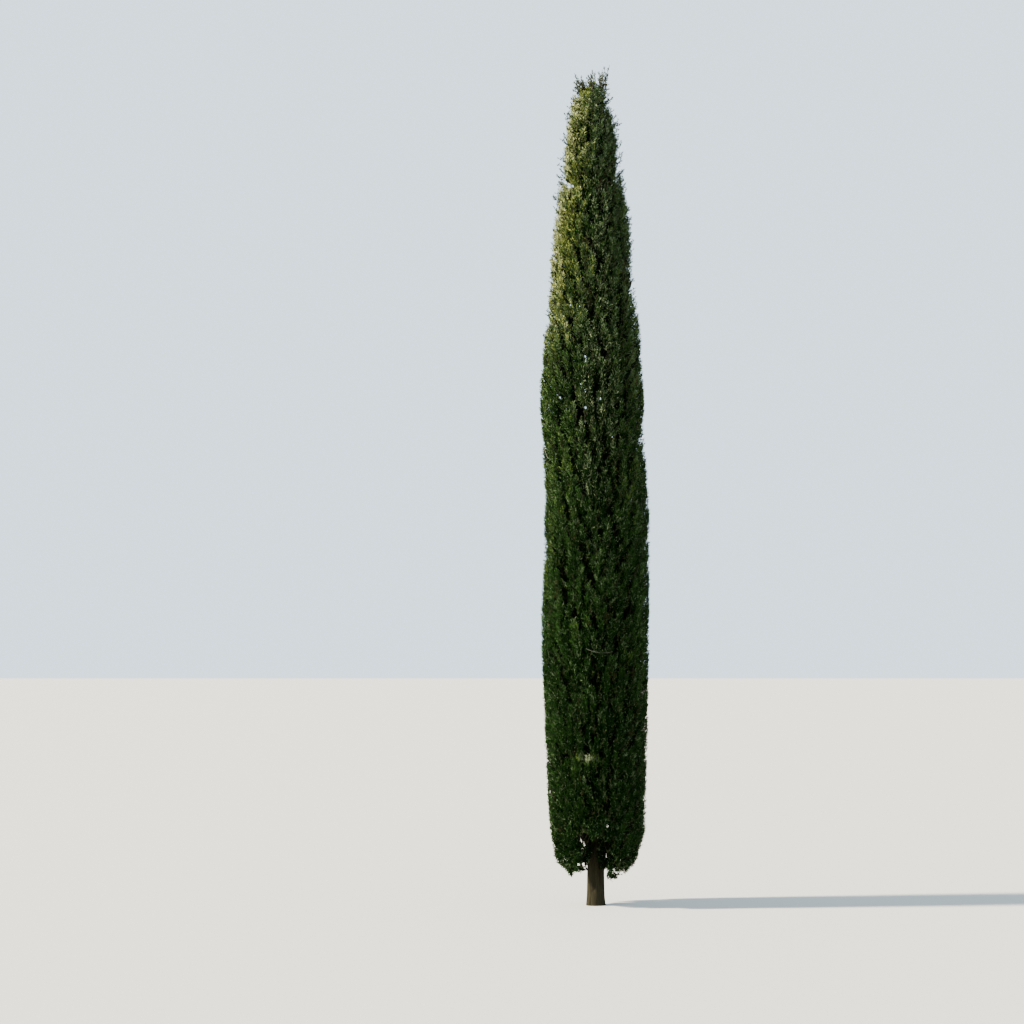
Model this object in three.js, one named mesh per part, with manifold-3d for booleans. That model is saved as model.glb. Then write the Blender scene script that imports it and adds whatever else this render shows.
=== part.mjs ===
// Italian cypress: a slim upright column of dense foliage on a short bare trunk.
// Millimetres, +Z up. The origin is the middle of the flat cut under the trunk, at ground level.
// The crown is parted into plumes, upright masses of foliage that stand in tiers round the trunk.
// Each plume has a space of its own with flat sides, and a bough carries it from the trunk.
import * as THREE from "three";
import { mergeVertices } from "three/addons/utils/BufferGeometryUtils.js";
import Module from "manifold-3d";

const wasm = await Module();
wasm.setup();

// Gap between two pieces that meet
const GAP = 0.3;

// Trunk
const TRUNK_HEIGHT = 5790;
const TRUNK_RADIUS = 61;
const TRUNK_TIP_RADIUS = 4;
const TRUNK_TAPER = 0.92;
const TRUNK_LEAN = 20;
const FLARE_WIDTH = 9;
const FLARE_HEIGHT = 70;
const FLUTE_DEPTH = 0.035;
const TRUNK_SIDES = 12;
const TRUNK_RINGS = [0, 45, 110, 220, 420, 800, 1400, 2100, 2900, 3700, 4500, 5250, TRUNK_HEIGHT];

// Crown outline: how far the outermost sprays reach, and how far its middle stands off the trunk
const OUTLINE = [
  { height: 195, reach: 166, shift: 10 },
  { height: 310, reach: 273, shift: 4 },
  { height: 510, reach: 328, shift: 15 },
  { height: 1130, reach: 358, shift: 9 },
  { height: 1950, reach: 381, shift: 2 },
  { height: 2800, reach: 371, shift: 20 },
  { height: 3220, reach: 360, shift: -4 },
  { height: 3640, reach: 369, shift: -20 },
  { height: 4060, reach: 337, shift: -8 },
  { height: 4480, reach: 289, shift: -18 },
  { height: 4910, reach: 261, shift: -6 },
  { height: 5145, reach: 224, shift: -18 },
  { height: 5555, reach: 170, shift: -16 },
  { height: 5775, reach: 119, shift: -24 },
  { height: 6026, reach: 131, shift: -2 },
];
const CROWN_FOOT = OUTLINE[0].height;
const CROWN_TOP = OUTLINE.at(-1).height;

// Tiers of plumes: how many, the height of their middle, where the first faces (degrees from +X),
// how many sprays each has, how far out its line runs at the foot and at the top
// and how near the trunk it comes, the last three as shares of the crown's reach
const TIERS = [
  { plumes: 5, middle: 800, turn: 18, sprays: 18, foot: 0.58, top: 0.72, hollow: 0.27 },
  { plumes: 5, middle: 1790, turn: 54, sprays: 18, foot: 0.54, top: 0.72, hollow: 0.27 },
  { plumes: 5, middle: 2820, turn: 18, sprays: 18, foot: 0.54, top: 0.72, hollow: 0.27 },
  { plumes: 5, middle: 3830, turn: 54, sprays: 18, foot: 0.54, top: 0.74, hollow: 0.27 },
  { plumes: 4, middle: 4780, turn: 90, sprays: 17, foot: 0.54, top: 0.74, hollow: 0.25 },
  { plumes: 4, middle: 5570, turn: 4, sprays: 13, foot: 0.58, top: 0.66, hollow: 0.1 },
];
const TIER_PITCH = 1000;
const TURN_JITTER = 9;
const MIDDLE_JITTER = 260;
// Spaces are this much taller than wide
const SPACE_STRETCH = 4;
const SPACE_MARGIN = 1.5;
// The space of a lower plume rises outside the foot of an upper one by this slope
const SHINGLE_SLOPE = 1.5;

// Plume core: the dense inside of a plume
const CORE_SIDES = 8;
const CORE_RINGS = [0, 0.05, 0.2, 0.42, 0.62, 0.8, 0.94, 1];
const CORE_RADIUS = 195;
// How deep under the crown's surface a core stays, and at the crown's foot
const CORE_DEPTH = 72;
const FOOT_DEPTH = 34;
const CORE_END_MARGIN = 10;
const CORE_LOWEST = 290;
const CORE_HIGHEST = 5850;
// The underside of the crown rises this much towards the trunk
const CUP_RISE = 170;
const HOLLOW_LEAST = 8;

// Boughs and stems
const BOUGH_RADIUS = 15;
const BOUGH_TO_TRUNK = 0.6;
const BOUGH_TAPER = 0.7;
const BOUGH_RISE = 1.25;
const BOUGH_JOIN = 0.24;
const LIMB_SIDES = 6;
const LIMB_RINGS = 2;
const TWIG_RADIUS = 5;
// Room that sprays leave round a bough
const BOUGH_ROOM = 8;

// Sprays of scale leaves
const TIP_SPRAYS = 3;
const SPRAY_LENGTH = 285;
const SPRAY_WIDTH = 140;
const SPRAY_THICKNESS = 30;
const SPRAY_SUNK = 0.14;
const TIP_SUNK = 0.12;
const SPRAY_FAN = 225;
const SPRAY_TRIES = [1, 0.92, 0.84, 0.76, 0.68, 0.6, 0.52];
const HANGING_SIZE = 0.6;
const HANGING_SHARE = 0.2;
const HANGING_TUCK = 50;
const TUCK = 6;
const GOLDEN = 0.618034;

const UP = new THREE.Vector3(0, 0, 1);

const bark = new THREE.MeshStandardMaterial({ color: 0x6b5a49, roughness: 0.95, metalness: 0 });
const foliage = new THREE.MeshStandardMaterial({ color: 0x33491f, roughness: 0.8, metalness: 0 });

// A repeatable share from 0 to 1 for a pair of numbers
function chance(a, b) {
  const x = Math.sin(a * 12.9898 + b * 78.233) * 43758.5453;
  return x - Math.floor(x);
}

const outlineTrack = new THREE.LinearInterpolant(
  OUTLINE.map((row) => row.height),
  OUTLINE.flatMap((row) => [row.reach, row.shift]),
  2,
  new Float64Array(2),
);

// The crown's reach and the place of its middle at a height
function crownAt(height) {
  const kept = THREE.MathUtils.clamp(height, CROWN_FOOT, CROWN_TOP);
  const [reach, shift] = outlineTrack.evaluate(kept);
  return { reach, shift };
}

// The trunk's middle leans a little sideways as it rises
function trunkShift(height) {
  return -TRUNK_LEAN * THREE.MathUtils.smootherstep(height, 300, TRUNK_HEIGHT * 1.2);
}

function trunkRadius(height) {
  const left = Math.max(0, 1 - height / TRUNK_HEIGHT);
  const taper = TRUNK_TIP_RADIUS + (TRUNK_RADIUS - TRUNK_TIP_RADIUS) * left ** TRUNK_TAPER;
  return taper + FLARE_WIDTH * Math.exp(-height / FLARE_HEIGHT);
}

// How thick a bough is where it leaves the trunk at a height, and at its tip
function boughRadii(height) {
  const root = Math.min(BOUGH_RADIUS, BOUGH_TO_TRUNK * trunkRadius(height));
  return { root, tip: root * BOUGH_TAPER };
}

// A closed three.js geometry as a solid, its seams merged
function solidOf(geometry) {
  geometry.deleteAttribute("normal");
  geometry.deleteAttribute("uv");
  const merged = mergeVertices(geometry, 1e-3);
  return new wasm.Manifold(
    new wasm.Mesh({
      numProp: 3,
      vertProperties: new Float32Array(merged.attributes.position.array),
      triVerts: new Uint32Array(merged.index.array),
    }),
  );
}

function geometryOf(solid) {
  const mesh = solid.getMesh();
  const geometry = new THREE.BufferGeometry();
  geometry.setAttribute("position", new THREE.BufferAttribute(mesh.vertProperties, mesh.numProp));
  geometry.setIndex(new THREE.BufferAttribute(mesh.triVerts, 1));
  const faceted = geometry.toNonIndexed();
  faceted.computeVertexNormals();
  return faceted;
}

// The largest body of a solid, without scraps and without sealed hollows
function largestBody(solid) {
  const bodies = solid.decompose();
  return bodies.reduce((best, body) => (body.volume() > best.volume() ? body : best));
}

// Moves every vertex of a geometry to where place(vertex) puts it
function reshape(geometry, place) {
  const position = geometry.attributes.position;
  const vertex = new THREE.Vector3();
  for (let i = 0; i < position.count; i += 1) {
    const moved = place(vertex.fromBufferAttribute(position, i));
    position.setXYZ(i, moved.x, moved.y, moved.z);
  }
  return geometry;
}

// The trunk, with extra radius all over where another piece is cut to clear it
function trunkSolid(extra) {
  const profile = TRUNK_RINGS.map((height) => new THREE.Vector2(1, height));
  profile.unshift(new THREE.Vector2(0, 0));
  profile.push(new THREE.Vector2(0, TRUNK_HEIGHT));
  const lathe = new THREE.LatheGeometry(profile, TRUNK_SIDES).rotateX(Math.PI / 2);
  reshape(lathe, (v) => {
    const height = v.z;
    const angle = Math.atan2(v.y, v.x);
    const flutes = FLUTE_DEPTH * (Math.cos(3 * angle + 0.6) + 0.6 * Math.cos(5 * angle - height / 700));
    const radius = trunkRadius(height) * (1 + flutes) + extra;
    return v.set(v.x * radius + trunkShift(height), v.y * radius, height);
  });
  return solidOf(lathe);
}

// A limb along a curve from one radius to another, with flat ends
function limbSolid(curve, startRadius, endRadius, sides = LIMB_SIDES, rings = LIMB_RINGS) {
  const tube = new THREE.CylinderGeometry(1, 1, 1, sides, rings);
  reshape(tube, (v) => {
    const along = v.y + 0.5;
    const tangent = curve.getTangent(along);
    const side = new THREE.Vector3().crossVectors(tangent, new THREE.Vector3(0.3, 1, 0)).normalize();
    const other = new THREE.Vector3().crossVectors(tangent, side);
    const radius = THREE.MathUtils.lerp(startRadius, endRadius, along);
    return curve
      .getPoint(along)
      .addScaledVector(side, v.z * radius)
      .addScaledVector(other, v.x * radius);
  });
  return solidOf(tube);
}

// A spray: a flat blade of three prongs, thickest in the middle
function spraySolid(root, direction, across, size) {
  const normal = new THREE.Vector3().crossVectors(across, direction).normalize();
  const at = (along, side, lift) =>
    root
      .clone()
      .addScaledVector(direction, along * SPRAY_LENGTH * size)
      .addScaledVector(across, (side * SPRAY_WIDTH * size) / 2)
      .addScaledVector(normal, (lift * SPRAY_THICKNESS * size) / 2);
  const rim = [at(0, 0, 0), at(0.7, -1, 0), at(0.62, -0.36, 0), at(1, 0.08, 0), at(0.56, 0.38, 0), at(0.6, 1, 0)];
  const front = at(0.4, 0, 1);
  const back = at(0.4, 0, -1);
  const corners = [...rim, front, back];
  const faces = [];
  rim.forEach((_, i) => {
    const next = (i + 1) % rim.length;
    faces.push(rim.length, next, i, rim.length + 1, i, next);
  });
  const geometry = new THREE.BufferGeometry().setFromPoints(corners).setIndex(faces);
  return { solid: solidOf(geometry), corners };
}

// The plumes: where each stands, before it has a shape
function plumeSites() {
  const sites = [];
  TIERS.forEach((tier, level) => {
    for (let i = 0; i < tier.plumes; i += 1) {
      const seed = sites.length + 1;
      const jitter = TURN_JITTER * (2 * chance(seed, 1) - 1);
      const turn = THREE.MathUtils.degToRad(tier.turn + (360 * i) / tier.plumes + jitter);
      const middle = tier.middle + MIDDLE_JITTER * (chance(seed, 2) - 0.5);
      const { reach, shift } = crownAt(middle);
      const outward = new THREE.Vector3(Math.cos(turn), Math.sin(turn), 0);
      const centre = new THREE.Vector3(shift, 0, middle).addScaledVector(outward, reach * (tier.foot + tier.top) / 2);
      sites.push({ seed, level, tier, number: i + 1, outward, centre });
    }
  });
  return sites;
}

// The flat sides of a plume's space, each the halfway plane to a neighbour, and one clear of the trunk
function spaceSides(site, sites) {
  const squash = new THREE.Vector3(1, 1, 1 / SPACE_STRETCH ** 2);
  const sides = sites
    .filter((other) => other !== site && Math.abs(other.centre.z - site.centre.z) < 2.4 * TIER_PITCH)
    .map((other) => {
      const normal = other.centre.clone().sub(site.centre).multiply(squash);
      const between = other.outward.clone().add(site.outward).multiplyScalar(0.5);
      if (other.level !== site.level && between.length() > 0.5) {
        const outward = normal.dot(between) / between.lengthSq();
        normal.addScaledVector(between, -outward - SHINGLE_SLOPE * normal.z);
      }
      normal.normalize();
      const point = other.centre.clone().add(site.centre).multiplyScalar(0.5);
      return { normal, limit: normal.dot(point) - SPACE_MARGIN };
    });
  const inward = site.outward.clone().negate();
  const low = site.centre.z - TIER_PITCH / 2;
  const forBough = trunkRadius(low) + 2 * boughRadii(low).tip + HOLLOW_LEAST;
  const hollow = Math.max(site.tier.hollow * crownAt(low).reach, forBough);
  const trunkMiddle = new THREE.Vector3(trunkShift(site.centre.z), 0, 0);
  sides.push({ normal: inward, limit: inward.dot(trunkMiddle) - hollow });
  return sides;
}

const isInside = (point, sides) => sides.every((side) => side.normal.dot(point) <= side.limit);

// How far a ray from a point runs before it leaves the space
function roomAlong(point, direction, sides) {
  return sides.reduce((least, side) => {
    const speed = side.normal.dot(direction);
    return speed > 1e-6 ? Math.min(least, (side.limit - side.normal.dot(point)) / speed) : least;
  }, Infinity);
}

// How far a level ray from a point runs before it is a given depth under the crown's surface
function roomToSurface(point, direction, depth) {
  const { reach, shift } = crownAt(point.z);
  const radius = Math.max(8, reach - depth);
  const x = point.x - shift;
  const along = x * direction.x + point.y * direction.y;
  const under = along ** 2 - (x ** 2 + point.y ** 2 - radius ** 2);
  return under > 0 ? -along + Math.sqrt(under) : 0;
}

// A plume's own line, from its foot to its top, as long as its space allows
function plumeAxis(site, sides) {
  const pointAt = (height) => {
    const { reach, shift } = crownAt(height);
    const rise = THREE.MathUtils.clamp((height - site.centre.z) / TIER_PITCH + 0.5, 0, 1);
    const out = THREE.MathUtils.lerp(site.tier.foot, site.tier.top, rise) * (reach - CORE_DEPTH / 3);
    return new THREE.Vector3(shift, 0, height).addScaledVector(site.outward, out);
  };
  const step = 10;
  const inset = sides.map(({ normal, limit }) => ({ normal, limit: limit - CORE_END_MARGIN }));
  let low = site.centre.z;
  let high = site.centre.z;
  while (low - step > CORE_LOWEST && isInside(pointAt(low - step), inset)) low -= step;
  while (high + step < CORE_HIGHEST && isInside(pointAt(high + step), inset)) high += step;
  return { low, high, pointAt };
}

// How plump a plume is along its line: slim at the foot, widest past the middle, pointed at the top
function plumpness(share) {
  return Math.sin(Math.PI * share ** 0.9) ** 0.38;
}

function coreDepth(site, share) {
  const atFoot = site.level === 0 ? 1 - THREE.MathUtils.smoothstep(share, 0, 0.35) : 0;
  return THREE.MathUtils.lerp(CORE_DEPTH, FOOT_DEPTH, atFoot);
}

function coreSolid(site, axis, sides) {
  const lastRing = CORE_RINGS.length - 1;
  const ball = new THREE.SphereGeometry(1, CORE_SIDES, lastRing).rotateX(Math.PI / 2);
  const facing = Math.atan2(site.outward.y, site.outward.x);
  const places = new Map();
  reshape(ball, (v) => {
    const ring = Math.round((1 - Math.acos(THREE.MathUtils.clamp(v.z, -1, 1)) / Math.PI) * lastRing);
    const turn = Math.atan2(v.y, v.x) / (2 * Math.PI);
    const column = Math.round((turn + 1) * CORE_SIDES) % CORE_SIDES;
    const isEnd = ring === 0 || ring === lastRing;
    const key = isEnd ? `end${ring}` : `${ring}/${column}`;
    if (!places.has(key)) {
      const share = CORE_RINGS[ring];
      const middle = axis.pointAt(THREE.MathUtils.lerp(axis.low, axis.high, share));
      if (!isEnd) {
        const angle = facing + (2 * Math.PI * (column + 0.5)) / CORE_SIDES;
        const direction = new THREE.Vector3(Math.cos(angle), Math.sin(angle), 0);
        const lumps = 0.84 + 0.3 * chance(site.seed * 7 + ring, column);
        const room = Math.min(
          CORE_RADIUS * plumpness(share) * lumps,
          roomAlong(middle, direction, sides),
          roomToSurface(middle, direction, coreDepth(site, share) * (1.3 - lumps / 3)),
        );
        middle.addScaledVector(direction, Math.max(4, room));
        const inward = 0.5 - 0.5 * direction.dot(site.outward);
        if (site.level === 0) middle.z += CUP_RISE * inward * (1 - share) ** 6;
      }
      places.set(key, middle);
    }
    return v.copy(places.get(key));
  });
  return solidOf(ball);
}

// The line of the bough and of the stem that goes on from it, from the trunk into the plume
function limbLines(site, axis, sides) {
  const joinHeight = THREE.MathUtils.lerp(axis.low, axis.high, BOUGH_JOIN);
  const join = axis.pointAt(joinHeight);
  const trunkMiddle = new THREE.Vector3(trunkShift(joinHeight), 0, joinHeight);
  const span = join.clone().sub(trunkMiddle).dot(site.outward);
  const start = trunkMiddle.clone().addScaledVector(UP, -span * BOUGH_RISE * 0.8);
  const wholeLine = new THREE.QuadraticBezierCurve3(
    start,
    start.clone().lerp(join, 0.45).addScaledVector(UP, -span * 0.12),
    join,
  );
  const hollow = -sides.at(-1).limit;
  const outAt = (share) => wholeLine.getPoint(share).dot(site.outward);
  let tip = 0.3;
  const radii = boughRadii(start.z);
  while (tip < 0.9 && outAt(tip) < hollow - radii.tip - 4) tip += 0.01;
  const point = (share) => wholeLine.getPoint(share);
  const boughLine = new THREE.QuadraticBezierCurve3(point(0), point(tip / 2), point(tip));
  const tangent = boughLine.getTangent(1);
  const stemStart = point(tip).addScaledVector(tangent, GAP);
  const stemLine = new THREE.CatmullRomCurve3([
    stemStart,
    stemStart.clone().addScaledVector(tangent, 12),
    join.clone().addScaledVector(UP, 20),
  ]);
  return { boughLine, stemLine, radii };
}

// Where each spray of a plume roots, where it points and how big it is
function sprayPlaces(site, axis, sides) {
  const facing = Math.atan2(site.outward.y, site.outward.x);
  const places = [];
  const { sprays } = site.tier;
  for (let i = 0; i < sprays + TIP_SPRAYS; i += 1) {
    const atTip = i >= sprays;
    const share = atTip ? 1 : 0.02 + (0.94 * (i + 0.5)) / sprays;
    const swing = ((i * GOLDEN) % 1) - 0.5;
    const angle = atTip
      ? facing + (2 * Math.PI * (i + chance(site.seed, 3))) / TIP_SPRAYS
      : facing + THREE.MathUtils.degToRad(SPRAY_FAN * swing);
    const out = new THREE.Vector3(Math.cos(angle), Math.sin(angle), 0);
    const middle = axis.pointAt(THREE.MathUtils.lerp(axis.low, axis.high, share));
    const hangs = site.level === 0 && share < HANGING_SHARE;
    const rise = hangs ? -112 + 28 * chance(site.seed, i) : 65 + 11 * share + 8 * chance(site.seed, i);
    const lift = THREE.MathUtils.degToRad(atTip ? 68 + 14 * chance(site.seed, i) : rise);
    const direction = out.clone().multiplyScalar(Math.cos(lift)).addScaledVector(UP, Math.sin(lift));
    const level = new THREE.Vector3().crossVectors(UP, out);
    const roll = 1.5 * (chance(site.seed + 40, i) - 0.5);
    const across = level.clone().applyAxisAngle(direction, roll);
    const skin = Math.min(
      CORE_RADIUS * plumpness(share) * 0.9,
      roomAlong(middle, out, sides),
      roomToSurface(middle, out, coreDepth(site, share) * 1.1),
    );
    const slimness = hangs ? HANGING_SIZE : 0.7 + 0.3 * Math.min(1, crownAt(middle.z).reach / 300);
    const bigness = slimness + 0.16 * (chance(site.seed, i + 60) - 0.5);
    const outBy = Math.max(0, skin - (hangs ? HANGING_TUCK : TUCK));
    const seat = middle.addScaledVector(out, outBy);
    places.push({ seat, direction, across, bigness, sunk: atTip ? TIP_SUNK : SPRAY_SUNK });
  }
  return places;
}

const isUnderSurface = (point) => {
  const { reach, shift } = crownAt(point.z);
  return point.z > CROWN_FOOT && point.z < CROWN_TOP && Math.hypot(point.x - shift, point.y) < reach;
};

// A bough, with extra radius all over where another piece is kept clear of it
function boughSolid(limbs, extra) {
  return limbSolid(limbs.boughLine, limbs.radii.root + extra, limbs.radii.tip + extra);
}

// One plume: its core, its stem and the sprays that stand out of the core
function plumeSolid(site, axis, sides, limbs) {
  const stem = limbSolid(limbs.stemLine, limbs.radii.tip, TWIG_RADIUS);
  const core = coreSolid(site, axis, sides).subtract(boughSolid(limbs, 2 * GAP));
  const boughRoom = boughSolid(limbs, BOUGH_ROOM);
  let plume = core.add(stem);
  for (const place of sprayPlaces(site, axis, sides)) {
    for (const shrink of SPRAY_TRIES) {
      const size = place.bigness * shrink;
      const root = place.seat.clone().addScaledVector(place.direction, -place.sunk * SPRAY_LENGTH * size);
      const { solid, corners } = spraySolid(root, place.direction, place.across, size);
      const isWithin = corners.every((c) => isInside(c, sides) && isUnderSurface(c));
      if (isWithin && solid.intersect(boughRoom).isEmpty()) {
        plume = plume.add(solid);
        break;
      }
    }
  }
  return largestBody(plume);
}

function addPiece(group, name, solid, material) {
  const mesh = new THREE.Mesh(geometryOf(solid), material);
  mesh.name = name;
  group.add(mesh);
}

function buildCypress() {
  const tree = new THREE.Group();
  addPiece(tree, "trunk", trunkSolid(0), bark);
  const trunkCutter = trunkSolid(GAP);
  const sites = plumeSites();
  for (const site of sites) {
    const sides = spaceSides(site, sites);
    const axis = plumeAxis(site, sides);
    const limbs = limbLines(site, axis, sides);
    const label = `${site.level + 1}_${site.number}`;
    const bough = largestBody(boughSolid(limbs, 0).subtract(trunkCutter));
    addPiece(tree, `bough_${label}`, bough, bark);
    addPiece(tree, `plume_${label}`, plumeSolid(site, axis, sides, limbs), foliage);
  }
  return tree;
}

export default buildCypress();
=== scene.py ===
"""The looks of a slim upright cypress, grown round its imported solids.

The crown's outline, the plumes and their spaces, and the boughs are worked out here by the same
rule and the same named sizes as in the part's source, in millimetres. The foliage is then carried
on to finer twigs: tufts stand all over each plume, sprigs stand round each tuft, and every sprig
is a feather of pointed shoots. Meshes are made in metres. Heights are above the ground, and
angles are in degrees from +X, which is the right as the camera sees it.
"""

import math

import bpy
import numpy as np
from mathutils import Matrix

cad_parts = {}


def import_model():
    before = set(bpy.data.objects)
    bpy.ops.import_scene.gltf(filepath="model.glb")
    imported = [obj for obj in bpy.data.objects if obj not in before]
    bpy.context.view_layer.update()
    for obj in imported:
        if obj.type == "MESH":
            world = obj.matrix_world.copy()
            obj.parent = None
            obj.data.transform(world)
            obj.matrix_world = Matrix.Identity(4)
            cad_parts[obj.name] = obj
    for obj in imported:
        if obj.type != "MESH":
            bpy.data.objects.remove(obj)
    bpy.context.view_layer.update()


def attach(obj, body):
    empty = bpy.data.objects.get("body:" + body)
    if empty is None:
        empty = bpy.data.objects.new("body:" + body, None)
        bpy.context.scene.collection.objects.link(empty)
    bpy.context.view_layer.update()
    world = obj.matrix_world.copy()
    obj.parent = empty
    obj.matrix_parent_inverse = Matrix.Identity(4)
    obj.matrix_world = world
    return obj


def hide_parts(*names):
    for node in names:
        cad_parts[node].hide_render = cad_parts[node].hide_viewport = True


MM = 0.001
UP = np.array([0.0, 0.0, 1.0])
RIGHT = np.array([1.0, 0.0, 0.0])
GOLDEN = 0.618034
# A direction that rises more than this is steep
STEEP = 0.8

# Two sizes in a bracket are the least, and how much more it may be by chance or along a line. Those
# named HEIGHT, EDGE or SIDE, and LIGHTER_RISE and BOUGH_SHARES, run from the one to the other

# Trunk
TRUNK_HEIGHT = 5790
TRUNK_RADIUS = 61
TRUNK_TIP_RADIUS = 4
TRUNK_TAPER = 0.92
TRUNK_LEAN = 20
LEAN_START = 300
LEAN_END = 1.2 * TRUNK_HEIGHT
FLARE_WIDTH = 9
FLARE_HEIGHT = 70
FLUTE_DEPTH = 0.035
WIDE_FLUTES = 3
WIDE_FLUTE_TURN = 0.6
NARROW_FLUTES = 5
NARROW_FLUTE_SHARE = 0.6
FLUTE_WIND = 700

# Bark relief: strips that run up the trunk, parted by cracks, with fine fibres on them. The
# strips swerve a little, by shares of a turn
BARK_SIDES = 96
BARK_FINE_TOP = 640
BARK_FINE_STEP = 6
BARK_COARSE_STEP = 55
BARK_STRIPS = 21
BARK_STRIP_LENGTH = 230
BARK_STRIP_RISE = 2.2
BARK_CRACK_DEPTH = 3.6
BARK_CRACK_POWER = 5
BARK_FIBRES = 74
BARK_FIBRE_LENGTH = 70
BARK_FIBRE_RISE = 1.3
SWERVE = 0.05
SWERVE_LENGTH = 170
SWERVES_ROUND = 6

# Crown outline: height, reach of the outermost shoots, and how far its middle is off the trunk
OUTLINE = np.array(
    [
        (195, 166, 10),
        (310, 273, 4),
        (510, 328, 15),
        (1130, 358, 9),
        (1950, 381, 2),
        (2800, 371, 20),
        (3220, 360, -4),
        (3640, 369, -20),
        (4060, 337, -8),
        (4480, 289, -18),
        (4910, 261, -6),
        (5145, 224, -18),
        (5555, 170, -16),
        (5775, 119, -24),
        (6026, 131, -2),
    ],
    float,
)
WIDEST = OUTLINE[:, 1].max()
CROWN_FOOT = 195
CROWN_TOP = 6026
LEAST_REACH = 4
# Where the crown is narrower than this its tufts get shorter and its grooves shallower
FULL_REACH = 360

# Tiers of plumes: how many, the height of their middle, the angle of the first, how many sprays
# each has, then, as shares of the reach, how far out their line runs at the foot and at the top
# and how near the trunk they come. Each plume has a space with flat sides, taller than wide, and
# the space of a lower plume rises outside the foot of an upper one
TIERS = [
    (5, 800, 18, 18, 0.58, 0.72, 0.27),
    (5, 1790, 54, 18, 0.54, 0.72, 0.27),
    (5, 2820, 18, 18, 0.54, 0.72, 0.27),
    (5, 3830, 54, 18, 0.54, 0.74, 0.27),
    (4, 4780, 90, 17, 0.54, 0.74, 0.25),
    (4, 5570, 4, 13, 0.58, 0.66, 0.1),
]
TIER_PITCH = 1000
TURN_JITTER = 9
MIDDLE_JITTER = 260
SPACE_STRETCH = 4
SPACE_MARGIN = 1.5
SHINGLE_SLOPE = 1.5
# Plumes further apart than this many tiers don't share a side
NEIGHBOUR_TIERS = 2.4
SAME_SIDE = 0.5
LINE_STEP = 10
CORE_DEPTH = 72
CORE_END_MARGIN = 10
CORE_LOWEST = 290
CORE_HIGHEST = 5850
HOLLOW_LEAST = 8

# Boughs, the stems that go on from them, and the twigs that carry the tufts
GAP = 0.3
BOUGH_RADIUS = 15
BOUGH_TO_TRUNK = 0.6
BOUGH_TAPER = 0.7
BOUGH_RISE = 1.25
BOUGH_JOIN = 0.24
# How far below its plume a bough starts, then how far along its middle is and how far it sags
BOUGH_START = 0.8
BOUGH_MIDDLE = 0.45
BOUGH_SAG = 0.12
# The least and the greatest share of its curve that a bough runs, and how near the plume it ends
BOUGH_SHARES = (0.3, 0.9)
BOUGH_SHARE_STEP = 0.01
BOUGH_END_MARGIN = 4
BOUGH_RINGS = 9
BOUGH_SIDES = 12
BOUGH_KNOTS = (0.97, 0.08)
# A stem goes on straight from its bough, turns up at the join, and ends above the plume's line
STEM_RUN = 14
STEM_TURN = 20
STEM_UPRIGHT = 60
STEM_BEYOND = 40
STEM_RINGS = 16
STEM_SIDES = 7
STEM_TIP_RADIUS = 2.5
TWIG_RINGS = 4
TWIG_SIDES = 3
TWIG_RADIUS = 2.6
TWIG_TIP_RADIUS = 1.0
TWIG_DROP = 190
TWIG_LOWEST = 40
TWIG_MIDDLE = 0.6
TWIG_SAG = 30

# Sprays of a plume, the masses that the tufts gather on: their places along its line, how steeply
# they rise there, at its tip and at the foot of the crown, and how far out of the line they stand
TIP_SPRAYS = 3
SPRAY_PLACES = (0.02, 0.94)
SPRAY_LIFT = 65
SPRAY_LIFT_RISE = 11
SPRAY_LIFT_SPREAD = 8
TIP_LIFT = (68, 14)
HANGING_SPRAY_LIFT = (-112, 28)
SPRAY_MIDDLE = 0.3
SPRAY_DEPTH = 1.1
SPRAY_ROOM = 0.9
LEAST_ROOM = 8
FOOT_SHARE = 0.35
PLUMP_FOOT = 0.9
PLUMP_SIDES = 0.38
CORE_RADIUS = 195
FOOT_DEPTH = 34
SPRAY_FAN = 225
SPRAY_LENGTH = 285
HANGING_SHARE = 0.2
HANGING_TUCK = 50
TUCK = 6

# How heights and angles are spread over the crown, and how far up its lower edge is felt
AREA_EXTRA = 50
AREA_STEPS = 400
HEIGHT_JITTER = 40
TURN_SCATTER = 0.035
EDGE_FELT = 760

# Tufts stand over the whole crown
TUFTS = 2300
TUFT_HIGHEST = 5800
TUFT_LENGTH = (110, 95)
THIN_LENGTH = 0.6
TUFT_LIFT = 67
TUFT_LIFT_SPREAD = 24
TUFT_LIFT_AT_TOP = 12
TUFT_TURN_SPREAD = 0.1
TUFT_LEAN_SPREAD = 0.9
TUFT_OWNER_DEPTH = 60
TUFT_TIP_DEPTH = 20
TUFT_DEPTH_POWER = 0.8
TUFT_BEYOND = 8
# The crown is a little fuller near its foot and draws in near its top
SKIRT_BEYOND = 20
SKIRT_HEIGHT = (320, 720)
TOP_TAPER_START = 5640
TOP_TAPER = 0.05

# Grooves where two plumes or two sprays meet and at a plume's foot: how wide, how deep, and how
# dark their painted shade is. They are shallower low down
GROOVE_WIDTH = 60
GROOVE_DEPTH = 34
GROOVE_PAINTED_SHADE = -1.3
SPRAY_GROOVE_WIDTH = 0.32
SPRAY_GROOVE_DEPTH = 22
SPRAY_GROOVE_SHADE = 0.85
SPRAY_STRETCH = 0.42
PLUME_FOOT_DEPTH = 30
PLUME_FOOT_HEIGHT = (60, 260)
LOW_RELIEF = 0.55
RELIEF_HEIGHT = (2400, 4200)
# How much sprays and plumes differ in tone
SPRAY_TONE = 0.9
PLUME_TONE = 0.6

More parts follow.
